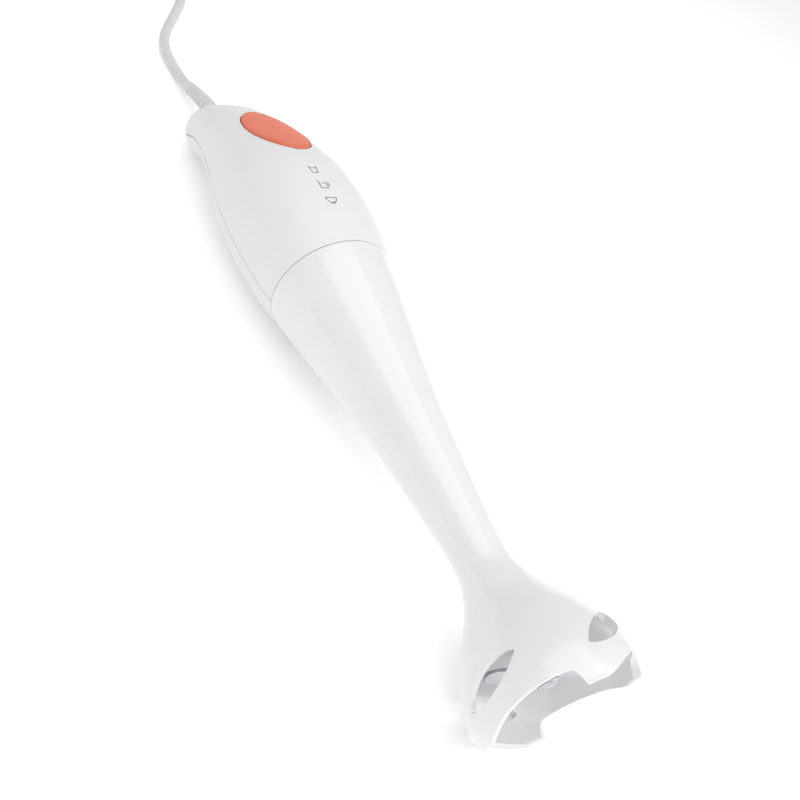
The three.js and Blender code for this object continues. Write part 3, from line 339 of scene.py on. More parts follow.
def finish_blade():
    """Ground blade steel: lines across the wings."""
    made = Finish("blade_steel", Metallic=1.0)
    lines = made.noise(0.16, 4, made.stretched(14, 1, 14), 0.7)
    clouds = made.noise(5, 3)
    made.set("Base Color", made.mix(clouds, rgb(196, 198, 201), rgb(170, 172, 176)))
    made.set("Roughness", 0.24 + (lines - 0.5) * 0.3 + (clouds - 0.5) * 0.1)
    made.set("Normal", made.bump(lines, 0.004, 0.6))
    return made


def finish_copper():
    """Enamelled copper wire, wound close: one ridge for each turn and a darker varnish between."""
    made = Finish("copper_wire", Metallic=1.0)
    turns = made.bands(0.55, "X", distortion=1.2)
    clouds = made.noise(3, 3)
    made.set("Base Color", made.mix(made.ramp(turns, (0.1, 1), (0.6, 0)), rgb(190, 108, 62), rgb(94, 44, 22)))
    made.set("Roughness", 0.32 + (clouds - 0.5) * 0.2)
    made.set("Normal", made.bump(turns, 0.12, 0.9))
    return made


def finish_lamination():
    """Stacked motor sheets: a thin dark line every half millimetre and oiled, blued steel between."""
    made = Finish("motor_sheets", Metallic=1.0)
    sheets = made.bands(0.5, "X")
    clouds = made.noise(4, 3)
    thin_lines = made.ramp(sheets, (0.08, 1), (0.3, 0))
    oiled = made.mix(clouds, rgb(132, 134, 140), rgb(104, 104, 112))
    made.set("Base Color", made.mix(thin_lines, oiled, rgb(42, 42, 46)))
    made.set("Roughness", 0.48 + (clouds - 0.5) * 0.2)
    made.set("Normal", made.bump(sheets, 0.05, 0.7))
    return made


def finish_board():
    """Printed board: green mask over tracks, with a fine glass weave."""
    made = Finish("board_mask", Coat_Weight=0.4)
    tracks = made.cells(3.4, made.stretched(1, 1, 0.2))
    weave = made.bands(0.7, "X") * made.bands(0.7, "Y")
    between = made.ramp(tracks, (0.35, 0), (0.42, 1))
    made.set("Base Color", made.mix(between, rgb(38, 104, 62), rgb(24, 74, 44)))
    made.set("Roughness", 0.36 + (weave - 0.5) * 0.1)
    sunk_tracks = made.bump(made.ramp(tracks, (0.35, 1), (0.42, 0)), 0.03)
    made.set("Normal", made.bump(weave, 0.01, 0.5, sunk_tracks))
    return made


def finish_carbon():
    made = Finish("brush_carbon")
    grains = made.noise(0.3, 4, roughness=0.7)
    made.set("Base Color", made.mix(grains, rgb(26, 26, 28), rgb(58, 58, 62)))
    made.set("Roughness", 0.62 + (grains - 0.5) * 0.3)
    made.set("Normal", made.bump(grains, 0.03, 0.7))
    return made


def finish_pin():
    """A plug pin: nickel at the tip, and a moulded sleeve on the half beside the plug."""
    made = Finish("pin_nickel")
    bare = made.coordinate("X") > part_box("plug_pin_1")[1].x - BARE_PIN * MM
    hair = made.noise(0.1, 4, made.stretched(1, 8, 8), 0.7)
    made.set("Base Color", made.mix(bare, rgb(38, 38, 40), rgb(206, 204, 198)))
    made.set("Metallic", bare * 1.0)
    made.set("Roughness", 0.5 - bare * 0.22 + (hair - 0.5) * 0.2)
    made.set("Normal", made.bump(hair, 0.004, 0.5))
    return made


def finish_print():
    """Pad-printed ink: slightly uneven, with pin holes."""
    made = Finish("printed_ink")
    grain = made.noise(0.09, 3)
    pin_holes = made.ramp(grain, (0.4, 0), (0.7, 1))
    made.set("Base Color", made.mix(pin_holes, rgb(92, 94, 98), rgb(116, 118, 122)))
    made.set("Roughness", 0.5 + (grain - 0.5) * 0.2)
    made.set("Normal", made.bump(grain, 0.003, 0.4))
    return made


gloss_white = finish_gloss_white()
matt_white = moulded("matt_white", rgb(227, 227, 228), 0.42, 0.3, 0.007, 0.45)
coral = moulded("soft_coral", rgb(232, 121, 93), 0.5, 0.26, 0.012, 0.6, 0.94)
pvc = finish_pvc()
black_plastic = moulded("black_plastic", rgb(38, 39, 42), 0.5, 0.4, 0.015, 0.6, 0.8)
brown_plastic = moulded("brown_plastic", rgb(104, 58, 34), 0.45, 0.4, 0.01, 0.5, 0.85)
blue_plastic = moulded("blue_plastic", rgb(44, 92, 158), 0.45, 0.4, 0.01, 0.5, 0.85)
grey_rubber = moulded("mount_rubber", rgb(58, 58, 60), 0.72, 0.5, 0.03, 0.7, 0.8)
yellow_film = moulded("yellow_film", rgb(216, 176, 52), 0.34, 0.8, 0.02, 0.5, 0.9)
polished_steel = finish_steel("drawn_steel", rgb(192, 194, 198), 0.26, 0.1, (1, 9, 9))
spring_steel = finish_steel("spring_wire", rgb(170, 172, 178), 0.3, 0.06)
brass = finish_steel("brass", rgb(206, 172, 98), 0.3, 0.12, (1, 5, 5))
blade_steel = finish_blade()
copper = finish_copper()
motor_sheets = finish_lamination()
board_mask = finish_board()
brush_carbon = finish_carbon()
pin_nickel = finish_pin()
printed_ink = finish_print()

CARRIED_OVER = {
    board_mask: ["circuit_board"],
    black_plastic: ["switch_body", "fuse", "cooling_fan", "upper_bracket", "motor_coupling", "shaft_coupling",
                    "shaft_seal"],
    brown_plastic: ["switch_plunger", "motor_lead_1", "mains_wire_1"],
    blue_plastic: ["motor_lead_2", "mains_wire_2"],
    grey_rubber: ["lower_motor_mount", "upper_motor_mount"],
    yellow_film: ["suppression_capacitor"],
    copper: ["choke_coil_1", "choke_coil_2", "field_coil_1", "field_coil_2", "armature_winding_lower",
             "armature_winding_upper", "commutator"],
    motor_sheets: ["field_core", "armature_core"],
    polished_steel: ["motor_shaft", "drive_shaft", "lower_bracket", "lower_bearing", "upper_bearing",
                     "clamp_screw_1", "clamp_screw_2", "housing_screw_1", "housing_screw_2"],
    spring_steel: ["button_spring", "brush_spring_1", "brush_spring_2"],
    brass: ["brush_holder_1", "brush_holder_2", "lower_bush", "upper_bush"],
    brush_carbon: ["carbon_brush_1", "carbon_brush_2"],
    pvc: ["inner_cord"],
    matt_white: ["cord_clamp"],
}
for finish, names in CARRIED_OVER.items():
    for name in names:
        for place in nodes[name].material_slots:
            place.material = finish.material

# ---------------------------------------------------------------- making pieces


def alone(piece=None):
    """Nothing is selected but this piece, so that an operator acts on nothing else."""
    bpy.ops.object.select_all(action="DESELECT")
    if piece:
        piece.select_set(True)
        bpy.context.view_layer.objects.active = piece


def named(name):
    piece = bpy.context.object
    piece.name = piece.data.name = name
    return piece


def closed_up(merge=1e-7):
    """Merges doubles, turns the faces outwards and leaves edit mode."""
    bpy.ops.mesh.select_all(action="SELECT")
    bpy.ops.mesh.remove_doubles(threshold=merge)
    bpy.ops.mesh.normals_make_consistent(inside=False)
    bpy.ops.object.mode_set(mode="OBJECT")


def traced(name, points):
    """One corner, extruded from point to point. It is left in edit mode, all selected."""
    alone()
    bpy.ops.mesh.primitive_plane_add(size=MM, location=points[0])
    piece = named(name)
    bpy.ops.object.transform_apply(location=True, rotation=True, scale=True)
    bpy.ops.object.mode_set(mode="EDIT")
    bpy.ops.mesh.select_all(action="SELECT")
    bpy.ops.mesh.merge(type="CENTER")
    for start, end in zip(points, points[1:]):
        bpy.ops.mesh.extrude_vertices_move(TRANSFORM_OT_translate={"value": end - start})
    bpy.ops.mesh.select_all(action="SELECT")
    return piece


def turned(name, outline, steps=96, y=0, z=0):
    """An outline of (x, radius) pairs, spun about an axis along X."""
    piece = traced(name, [at(x, y, z + radius) for x, radius in outline])
    bpy.ops.mesh.spin(steps=steps, angle=math.tau, center=at(0, y, z), axis=(1, 0, 0))
    closed_up(2e-6)
    return piece


def plate(name, points, depth):
    """A flat outline, filled and extruded by the vector depth."""
    piece = traced(name, points + points[:1])
    bpy.ops.mesh.remove_doubles(threshold=1e-6)
    bpy.ops.mesh.select_all(action="SELECT")
    bpy.ops.mesh.edge_face_add()
    bpy.ops.mesh.extrude_region_move(TRANSFORM_OT_translate={"value": depth})
    closed_up()
    return piece


def lofted(name, sections, sides=96, close_start=True, y=0, z=0):
    """A circle extruded through sections: x, half width, reach up, reach down and squareness."""
    def size(section):
        x, half, up, down, _ = section
        return at(x, y, z + (up - down) / 2), half * MM, (up + down) / 2 * MM

    alone()
    centre, half, deep = size(sections[0])
    bpy.ops.mesh.primitive_circle_add(vertices=sides, radius=1, location=centre,
                                      rotation=(0, math.pi / 2, 0))
    piece = named(name)
    bpy.ops.object.transform_apply(location=True, rotation=True, scale=True)
    bpy.ops.object.mode_set(mode="EDIT")
    bpy.ops.mesh.select_all(action="SELECT")
    bpy.ops.transform.resize(value=(1, half, deep), center_override=centre)
    if close_start:
        bpy.ops.mesh.edge_face_add()
    for section in sections[1:]:
        new_centre, new_half, new_deep = size(section)
        bpy.ops.mesh.extrude_region_move(TRANSFORM_OT_translate={"value": new_centre - centre})
        bpy.ops.transform.resize(value=(1, new_half / half, new_deep / deep), center_override=new_centre)
        centre, half, deep = new_centre, new_half, new_deep
    if not close_start:
        bpy.ops.mesh.edge_face_add()
    bpy.ops.object.mode_set(mode="OBJECT")
    square_up(piece, sections, size)
    bpy.ops.object.mode_set(mode="EDIT")
    closed_up()
    return piece


def square_up(piece, sections, size):
    """Moves each ring of a lofted piece from its ellipse out to the section's own squareness."""
    rings = {round(size(section)[0].x * 1e5): section for section in sections}
    for corner in piece.data.vertices:
        key = round(corner.co.x * 1e5)
        section = next(rings[k] for k in (key, key - 1, key + 1) if k in rings)
        middle, half, deep = size(section)
        power = 2 / section[4]
        wide, high = (corner.co.y - middle.y) / half, (corner.co.z - middle.z) / deep
        corner.co.y = middle.y + half * math.copysign(abs(wide) ** power, wide)
        corner.co.z = middle.z + deep * math.copysign(abs(high) ** power, high)


def modified(piece, kind, **settings):
    alone(piece)
    modifier = piece.modifiers.new(kind.lower(), kind)
    for setting, value in settings.items():
        setattr(modifier, setting, value)
    bpy.ops.object.modifier_apply(modifier=modifier.name)
    return piece


def carved(piece, cutter, operation="DIFFERENCE"):
    modified(piece, "BOOLEAN", operation=operation, object=cutter, solver="EXACT")
    bpy.data.objects.remove(cutter)
    return piece


def joined(first, *others):
    alone(first)
    for other in others:
        other.select_set(True)
    bpy.ops.object.join()
    return first


def copied(piece, name):
    twin = piece.copy()
    twin.data = piece.data.copy()
    twin.name = twin.data.name = name
    bpy.context.scene.collection.objects.link(twin)
    return twin


def softened(piece, width=0.4, segments=3, angle=38):
    """Rounds the sharp edges, and shades by angle with the large faces leading."""
    if width:
        modified(piece, "BEVEL", width=width * MM, segments=segments, limit_method="ANGLE",
                 angle_limit=math.radians(angle), use_clamp_overlap=False, profile=0.5,
                 miter_outer="MITER_ARC")
    alone(piece)
    bpy.ops.object.shade_smooth_by_angle(angle=math.radians(40))
    modified(piece, "WEIGHTED_NORMAL", keep_sharp=True, weight=60)
    return piece


def dressed(piece, finish, body, slot, *replaced):
    """Gives a piece its finish and body, and hides the CAD nodes that it stands for; the slot is not used."""
    piece.data.materials.clear()
    piece.data.materials.append(finish.material)
    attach(piece, body)
    if replaced:
        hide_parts(*replaced)
    return piece


# ---------------------------------------------------------------- cord


def coil_points():
    """Six turns in two layers, inwards below and outwards above: (degrees, radius, height)."""
    top = 5.8
    rows = [(30, 0, 0), (300, 0, 0), (360, 6, 0), (660, 6, 0), (720, 12, 0), (1020, 12, 0), (1080, 18, 0),
            (1200, 18, 0), (1230, 18, 3.2), (1265, 16.4, top), (1290, 15, top), (1500, 15, top),
            (1560, 9, top), (1860, 9, top), (1920, 3, top), (2150, 3, top)]
    steps = [(turn, COIL_OUTER - inwards, height) for turn, inwards, height in rows]
    points = []
    turn = steps[0][0]
    while turn <= steps[-1][0]:
        later = next(i for i, step in enumerate(steps) if step[0] >= turn)
        (a0, r0, h0), (a1, r1, h1) = steps[max(0, later - 1)], steps[later]
        share = (turn - a0) / (a1 - a0) if a1 > a0 else 0
        ease = share * share * (3 - 2 * share)
        radius, height = r0 + (r1 - r0) * ease, h0 + (h1 - h0) * ease
        angle = math.radians(turn)
        points.append((COIL_AT[0] + radius * math.sin(angle), COIL_AT[1] - radius * math.cos(angle),
                       CORD_Z + height))
        turn += 15
    return points


FIRST_STRETCH = [
    (405, 0, -26.6), (417, 0, -28.8), (428, 0.3, CORD_Z), (441, 0.6, CORD_Z), (453, -0.8, CORD_Z),
    (465, -4.6, CORD_Z), (477, -10.2, CORD_Z), (489, -16.8, CORD_Z), (501, -23.4, CORD_Z),
    (512, -28.9, CORD_Z), (522, -32.9, CORD_Z), (COIL_AT[0] - 26, -36, CORD_Z),
    (COIL_AT[0] - 12, -37.1, CORD_Z), (COIL_AT[0] + 4, -36.9, CORD_Z),
]
PLUG_AT = (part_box("plug_body")[0].x - FEET_X) / MM
LAST_STRETCH = [
    (COIL_AT[0] + 10, -34, -23.6), (COIL_AT[0] + 20, -34, -24), (COIL_AT[0] + 30, -33.9, -25.4),
    (PLUG_AT - 30, -32.6, -27.1), (PLUG_AT - 21, -29, -27.7), (PLUG_AT - 13, -24.6, -26.9),
    (PLUG_AT - 6, PLUG_Y, PLUG_Z - 0.2), (PLUG_AT + 3, PLUG_Y, PLUG_Z),
]


def cord_curve(name, points, radius):
    data = bpy.data.curves.new(name, "CURVE")
    data.dimensions = "3D"
    data.bevel_depth = radius * MM
    data.bevel_resolution = 4
    data.resolution_u = 5
    data.use_fill_caps = True
    line = data.splines.new("BEZIER")
    line.bezier_points.add(len(points) - 1)
    for place, point in zip(line.bezier_points, points):
        place.co = at(*point)
        place.handle_left_type = place.handle_right_type = "AUTO"
    curve = bpy.data.objects.new(name, data)
    bpy.context.scene.collection.objects.link(curve)
    return curve


power_lead = cord_curve("power_lead", FIRST_STRETCH + coil_points() + LAST_STRETCH, CORD_RADIUS)
dressed(power_lead, pvc, "body", "grey_pvc", "power_cord", "cord_coil", "plug_lead")


def rounded_loop(wide, high, radius):
    """Corners of a rounded rectangle, going round once."""
    points = []
    for quarter, (sx, sz) in enumerate([(1, 1), (-1, 1), (-1, -1), (1, -1)]):
        for step in range(9):
            angle = math.radians(90 * (quarter + step / 8))
            points.append((sx * (wide / 2 - radius) + radius * math.cos(angle),
                           sz * (high / 2 - radius) + radius * math.sin(angle)))
    return points


def coil_tie():
    """A hook-and-loop strap round the coil's turns, with its loose end lying on it."""
    middle_y, middle_z = COIL_AT[1] + 33, CORD_Z + 3.35
    loop = rounded_loop(25.4, 11.9, 4)
    points = [at(COIL_AT[0] - 4, middle_y + y, middle_z + z) for y, z in loop]
    band = traced("coil_strap", points + points[:1])
    bpy.ops.mesh.remove_doubles(threshold=1e-6)
    bpy.ops.mesh.select_all(action="SELECT")
    bpy.ops.mesh.extrude_region_move(TRANSFORM_OT_translate={"value": along(8, 0, 0)})
    bpy.ops.mesh.select_all(action="SELECT")
    bpy.ops.mesh.normals_make_consistent(inside=False)
    bpy.ops.object.mode_set(mode="OBJECT")
    modified(band, "SOLIDIFY", thickness=0.8 * MM, offset=0, use_even_offset=True)
    end = plate("strap_end", [at(COIL_AT[0] - 4, middle_y + y, middle_z + z) for y, z in [
        (-9, 6.5), (4, 6.5), (9, 6.3), (9.3, 6.8), (4.2, 7.15), (-8.8, 7.15)]], along(8, 0, 0))
    joined(band, end)
    return softened(band, 0.2, 2)


def plug_sections():
    rows = [(0, 4.2, 4.2, 2.2), (0.7, 4.6, 4.6, 2.2)]
    for ridge in range(5):
        x = 3 + ridge * 2.6
        rows += [(x - 0.3, 5.0, 5.0, 2.2), (x, 4.2, 4.2, 2.2), (x + 0.8, 4.2, 4.2, 2.2),
                 (x + 1.1, 5.0, 5.0, 2.2)]
    rows += [(16, 5.4, 5.4, 2.3), (17.5, 7, 5.8, 2.4), (19, 9, 6.2, 2.6), (22, 11.2, 6.6, 2.78),
             (25, 12.4, 6.8, 2.78)]
    for ridge in range(4):
        x = 29 + ridge * 3.4
        rows += [(x, 12.7, 6.8, 2.78), (x + 0.4, 12.1, 6.3, 2.78), (x + 1.3, 12.1, 6.3, 2.78),
                 (x + 1.7, 12.7, 6.8, 2.78)]
    rows += [(46, 12.9, 6.8, 2.78), (50, 13, 6.8, 2.78), (51.2, 12.7, 6.5, 2.78), (52, 12, 5.9, 2.78)]
    return [(PLUG_AT + x, half, high, high, square) for x, half, high, square in rows]


def plug_body():
    body = lofted("plug_body_moulding", plug_sections(), 64, y=PLUG_Y, z=PLUG_Z)
    for side in (-1, 1):
        end = plug_sections()[-1][0]
        hole = turned("pin_hole", [(end - 5, 0), (end - 5, 2.15), (end + 1, 2.15), (end + 1, 0)], 32,
                      PLUG_Y + side * PIN_ASIDE, PLUG_Z)
        carved(body, hole)
    return softened(body, 0.25, 2)


def plug_pin(number, side):
    start = (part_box(f"plug_pin_{number}")[0].x - FEET_X) / MM
    end = (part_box(f"plug_pin_{number}")[1].x - FEET_X) / MM
    sleeve_end = end - BARE_PIN
    outline = [(start, 0), (start, 2), (sleeve_end - 0.3, 2), (sleeve_end, 1.9), (sleeve_end + 0.15, 1.92),
               (end - 1.6, 1.92), (end - 0.9, 1.75), (end - 0.4, 1.4), (end - 0.1, 0.9), (end, 0.4), (end, 0)]
    pin = turned(f"plug_contact_{number}", outline, 40, PLUG_Y + side * PIN_ASIDE, PLUG_Z)
    return dressed(softened(pin, 0), pin_nickel, "body", "brass", f"plug_pin_{number}")


strap = dressed(coil_tie(), black_plastic, "body", "black_plastic", "coil_tie")
plug = dressed(plug_body(), pvc, "body", "grey_pvc", "plug_body")
pins = [plug_pin(1, 1), plug_pin(2, -1)]


# ---------------------------------------------------------------- leg and bell


def leg_curve(wall, start, end):
    """Points of the leg's outline between two heights, a wall's thickness inside it."""
    found = [spline(LEG, step / 150) for step in range(151)]
    return [(x, radius - wall) for x, radius in found if start <= x <= end]


def through_bell(name, shape, degrees, inner):
    """A shape of (up, around) points, extruded straight out through the bell's wall."""
    angle = math.radians(degrees)
    out = Vector((0, math.sin(angle), math.cos(angle)))
    round_bell = Vector((0, math.cos(angle), -math.sin(angle)))
    points = [at(up, 0, 0) + (round_bell * around + out * inner) * MM for up, around in shape]
    return plate(name, points, out * 40 * MM)


def arch_shape():
    across = BELL_RADIUS * math.sin(math.radians((360 / FEET - FOOT_WIDTH) / 2))
    crown = [spline(ARCH, step / 60) for step in range(61)]
    points = [(ARCH_HEIGHT * up, across * around) for up, around in crown]
    return [(-2 * ARCH_HEIGHT, -across), *points, (-2 * ARCH_HEIGHT, 1.1 * across)]


def slot_shape():
    """A slanting leaf, nearly pointed at both ends."""
    slant = math.radians(SLOT["slant"])
    points = []
    for step in range(72):
        turn = math.tau * step / 72
        lengthwise = SLOT["length"] / 2 * math.cos(turn)
        aside = SLOT["height"] / 2 * math.copysign(abs(math.sin(turn)) ** SLOT["point"], math.sin(turn))
        points.append((SLOT["at"] + aside * math.cos(slant) - lengthwise * math.sin(slant),
                       aside * math.sin(slant) + lengthwise * math.cos(slant)))
    return points


def leg():
    """One moulding: the long taper, the bell with its four feet and slots, and the bore for the shaft."""
    bore = SHAFT_RADIUS + GAP
    spigot = SEAM_RADIUS - SPIGOT_INSET - GAP
    rim = [(0.75, 31.75 - BELL_WALL), (0.2, 31.6 - BELL_WALL + 0.45), (0, 31.6 - 1.25), (0.15, 31.35)]
    outside = leg_curve(0, 0.6, 204.4)
    shoulder = [(204.8, 29.35), (205, 29.05), (205, spigot), (211.6, spigot), (212, spigot - 0.4),
                (212, spigot - 1.9), (205, spigot - 2.3)]
    tube = leg_curve(LEG_WALL, 52, 200)[::-1]
    bulkhead = [(49, 8), (49, bore), (26, bore), (26, 9.2), (26.4, 9.7), (33.4, 9.9), (35, 10.6), (35, 17.2)]
    bell = leg_curve(BELL_WALL, 1, 33)[::-1]
    piece = turned("leg_and_bell", rim + outside + shoulder + tube + bulkhead + bell + rim[:1], 144)
    for foot in range(FEET):
        turn = 360 / FEET * foot
        arch_angle = FOOT_ANGLE + 180 / FEET + turn
        carved(piece, through_bell("arch_cutter", arch_shape(), arch_angle, BELL_RADIUS / 3))
        carved(piece, through_bell("slot_cutter", slot_shape(), SLOT["angle"] + turn, BELL_RADIUS / 2))
    return softened(piece, 0)


dressed(leg(), gloss_white, "body", "gloss_white_plastic", "leg_housing")

# ---------------------------------------------------------------- handle


def handle_sections(grow=0.0, steps=88):
    stretch = 1 + grow / (BODY_LENGTH - SEAM_AT)
    rows = []
    for step in range(steps + 1):
        share = step / steps
        x, half, front, back, square = spline(HANDLE, share)
        if half + grow > 1 and (front + back) / 2 + grow > 1:
            rows.append((SEAM_AT + (x - SEAM_AT) * stretch, half + grow, front + grow, back + grow, square))
    x, half, front, back, square = rows[-1]
    middle, deep = (front - back) / 2, (front + back) / 2
    rows += [(x + rise, half * share, middle + deep * share, deep * share - middle, square)
             for rise, share in [(0.05, 0.7), (0.08, 0.4), (0.09, 0.15)]]
    return rows


def joint_cutter(shift):
    """All that lies behind the joint line, moved towards the button's side by shift."""
    line = [at(x, -70, z + shift) for x, z in JOINT_LINE]
    behind = [at(x, -70, -80) for x in (BODY_LENGTH + 16, SEAM_AT - 20)]
    return plate("joint_cutter", line + behind, along(0, 140, 0))


def round_cutter(name, x, y, low, high, radius, corners=48):
    """A round cutter or post that stands along Z."""
    alone()
    bpy.ops.mesh.primitive_cylinder_add(vertices=corners, radius=radius * MM, depth=(high - low) * MM,
                                        location=at(x, y, (low + high) / 2))
    piece = named(name)
    bpy.ops.object.transform_apply(location=True, rotation=True, scale=True)
    return piece


def handle_at(x):
    """The handle's section at a height: half width, reach to each side and squareness."""
    low, high = 0.0, 1.0
    for _ in range(40):
        middle = (low + high) / 2
        if spline(HANDLE, middle)[0] < x:
            low = middle
        else:
            high = middle
    return spline(HANDLE, low)[1:]


BUTTON_NORMAL = Vector((math.sin(BUTTON_TILT), 0, math.cos(BUTTON_TILT)))
BUTTON_ALONG = Vector((math.cos(BUTTON_TILT), 0, -math.sin(BUTTON_TILT)))
BUTTON_MIDDLE = at(BUTTON_AT, 0, handle_at(BUTTON_AT)[1])


def button_column(name, grow, low, high, corners=160):
    """An oval column along the button's travel."""
    points = []
    for corner in range(corners):
        angle = math.tau * corner / corners
        points.append(BUTTON_MIDDLE + (BUTTON_ALONG * (BUTTON_LENGTH / 2 + grow) * math.cos(angle)
                                       + Vector((0, 1, 0)) * (BUTTON_WIDTH / 2 + grow) * math.sin(angle)
                                       + BUTTON_NORMAL * low) * MM)
    return plate(name, points, BUTTON_NORMAL * (high - low) * MM)


def handle_shells():
    """Both shells from one hollow form, so that their outsides run on across the joint."""
    whole = lofted("handle_form", handle_sections(), 128, close_start=False)
    modified(whole, "SOLIDIFY", thickness=WALL * MM, offset=-1, use_even_offset=False)
    seam = [(204, 0), (204, 40), (SEAM_AT + GAP, 40), (SEAM_AT + GAP, 0)]
    carved(whole, turned("seam_cutter", seam, 96))
    hole = [(RELIEF_AT - 9, 0), (RELIEF_AT - 9, 5.5), (BODY_LENGTH + 8, 5.5), (BODY_LENGTH + 8, 0)]
    carved(whole, turned("relief_hole", hole, 48, 0, RELIEF_Z))
    front = copied(whole, "front_shell_moulding")
    rear = whole
    rear.name = rear.data.name = "rear_shell_moulding"
    carved(front, joint_cutter(0.12))
    carved(rear, joint_cutter(-0.12), "INTERSECT")
    carved(front, button_column("button_opening", BUTTON_CLEARANCE, -9, 12))
    for side in (-1, 1):
        boss = round_cutter("boss", SCREW_AT, side * SCREW_ASIDE, -24, -5.5, 4.5)
        carved(boss, lofted("boss_limit", handle_sections(-WALL / 2), 96), "INTERSECT")
        carved(rear, boss, "UNION")
        carved(rear, round_cutter("screw_well", SCREW_AT, side * SCREW_ASIDE, -40, -9, 3.2))
        carved(rear, round_cutter("screw_hole", SCREW_AT, side * SCREW_ASIDE, -12, 10, 1.8, 24))
    return softened(front, 0.3, 2, 42), softened(rear, 0.3, 2, 42)


front_shell, rear_shell = handle_shells()
dressed(front_shell, matt_white, "body", "matt_white_plastic", "front_shell")
dressed(rear_shell, matt_white, "body", "matt_white_plastic", "rear_shell")

# ---------------------------------------------------------------- button


def button_cap():
    """The oval cap follows the handle's form, with a shallow dish for the thumb."""
    cap = lofted("button_cap_moulding", handle_sections(BUTTON_PROUD, 220), 256)
    carved(cap, button_column("button_outline", 0, -4.5, 12, 192), "INTERSECT")
    for corner in cap.data.vertices:
        away = corner.co - BUTTON_MIDDLE
        rise = away.dot(BUTTON_NORMAL)
        oval = math.hypot(away.dot(BUTTON_ALONG) / (BUTTON_LENGTH / 2 * MM), away.y / (BUTTON_WIDTH / 2 * MM))
        if rise > -3.5 * MM and oval < 0.86:
            corner.co -= BUTTON_NORMAL * THUMB_DISH * MM * (1 - (oval / 0.86) ** 2) ** 2
    return softened(cap, 0.7, 4, 42)


def rods(name, lines, radius, roundness):
    """Round rods along lines of places, as one mesh."""
    data = bpy.data.curves.new(name, "CURVE")
    data.dimensions = "3D"
    data.bevel_depth = radius * MM
    data.bevel_resolution = roundness
    data.use_fill_caps = True
    for line in lines:
        path = data.splines.new("POLY")
        path.points.add(len(line) - 1)
        for point, place in zip(path.points, line):
            point.co = (*place, 1)
    made = bpy.data.objects.new(name, data)
    bpy.context.scene.collection.objects.link(made)
    alone(made)
    bpy.ops.object.convert(target="MESH")
    bpy.ops.object.shade_smooth_by_angle(angle=math.radians(40))
    return bpy.context.object


def button_mark():
    """A ring with a gap and a bar in it, the plain sign for on and off, standing a little proud."""
    middle = BUTTON_MIDDLE + BUTTON_NORMAL * (BUTTON_PROUD - THUMB_DISH - 0.02) * MM
    radius, gap, steps = 3.4, math.radians(34), 40
    turns = [gap + (math.tau - 2 * gap) * step / steps for step in range(steps + 1)]
    ring = [(radius * math.cos(turn), radius * math.sin(turn)) for turn in turns]
    bar = [(1.4 + 3 * step / 6, 0) for step in range(7)]
    side = Vector((0, 1, 0))
    lines = [[middle + (BUTTON_ALONG * u + side * v) * MM for u, v in line] for line in (ring, bar)]
    return rods("on_off_mark", lines, 0.36, 3)


dressed(button_cap(), coral, "button", "coral_button", "button_cap")
dressed(button_mark(), coral, "button", "coral_button")

# ---------------------------------------------------------------- printed marks


def handle_surface(x, y):
    """The handle's surface on the button's side, above a place given in millimetres."""
    half, front, back, square = handle_at(x)
    middle, deep = (front - back) / 2, (front + back) / 2
    return middle + deep * (1 - abs(y / half) ** square) ** (1 / square)


def arc(x, y, radius, start, end, steps=16, squash=1.0):
    """Points of an arc in degrees; up the handle is +X."""
    return [(x + squash * radius * math.sin(math.radians(start + (end - start) * step / steps)),
             y + radius * math.cos(math.radians(start + (end - start) * step / steps)))
            for step in range(steps + 1)]


def straight(*corners):
    """Points half a millimetre apart from corner to corner."""
    points = [corners[0]]
    for (x0, y0), (x1, y1) in zip(corners, corners[1:]):
        count = max(1, round(math.hypot(x1 - x0, y1 - y0) / 0.5))
        shares = [step / count for step in range(1, count + 1)]
        points += [(x0 + (x1 - x0) * share, y0 + (y1 - y0) * share) for share in shares]
    return points


def inked_place(x, y):
    """A place so far under the handle's surface that a line of ink stands 0.045 mm out of it."""
    surface = handle_surface(x, y)
    lean = (surface - handle_surface(x, y + 0.1)) / 0.1
    return at(x, y, surface) - Vector((0, lean, 1)).normalized() * (INK_RADIUS - 0.045) * MM


def printed(name, lines, x):
    """Thin lines of ink laid on the handle, as sunk rods."""
    sunk = [[inked_place(x + u, v + INK_ASIDE) for u, v in line] for line in lines]
    return dressed(rods(name, sunk, INK_RADIUS, 6), printed_ink, "body", "matt_white_plastic")


INK_RADIUS = 0.62
INK_ASIDE = 1.6
GLASS = [straight((2.6, -1.9), (-2.5, -1.35), (-2.5, 1.35), (2.6, 1.9)), straight((1.1, -1.7), (1.1, 1.7))]
JUG = [straight((2.5, -1.9), (-2.4, -1.9), (-2.4, 1.7), (2.0, 1.7), (2.7, 2.3)),
       arc(0.5, -1.9, 1.3, 120, 240, 14), straight((0.8, -1.0), (0.8, 0.6))]
BOWL = [straight((1.8, -2.9), (1.8, 2.9)), arc(1.8, 0, 2.6, 180, 360, 24, 1.25),
        straight((-1.9, -1.1), (-1.9, 1.1))]
for name, lines, height in (("mark_glass", GLASS, 251), ("mark_jug", JUG, 239.6), ("mark_bowl", BOWL, 229)):
    printed(name, lines, height)

# ---------------------------------------------------------------- strain relief


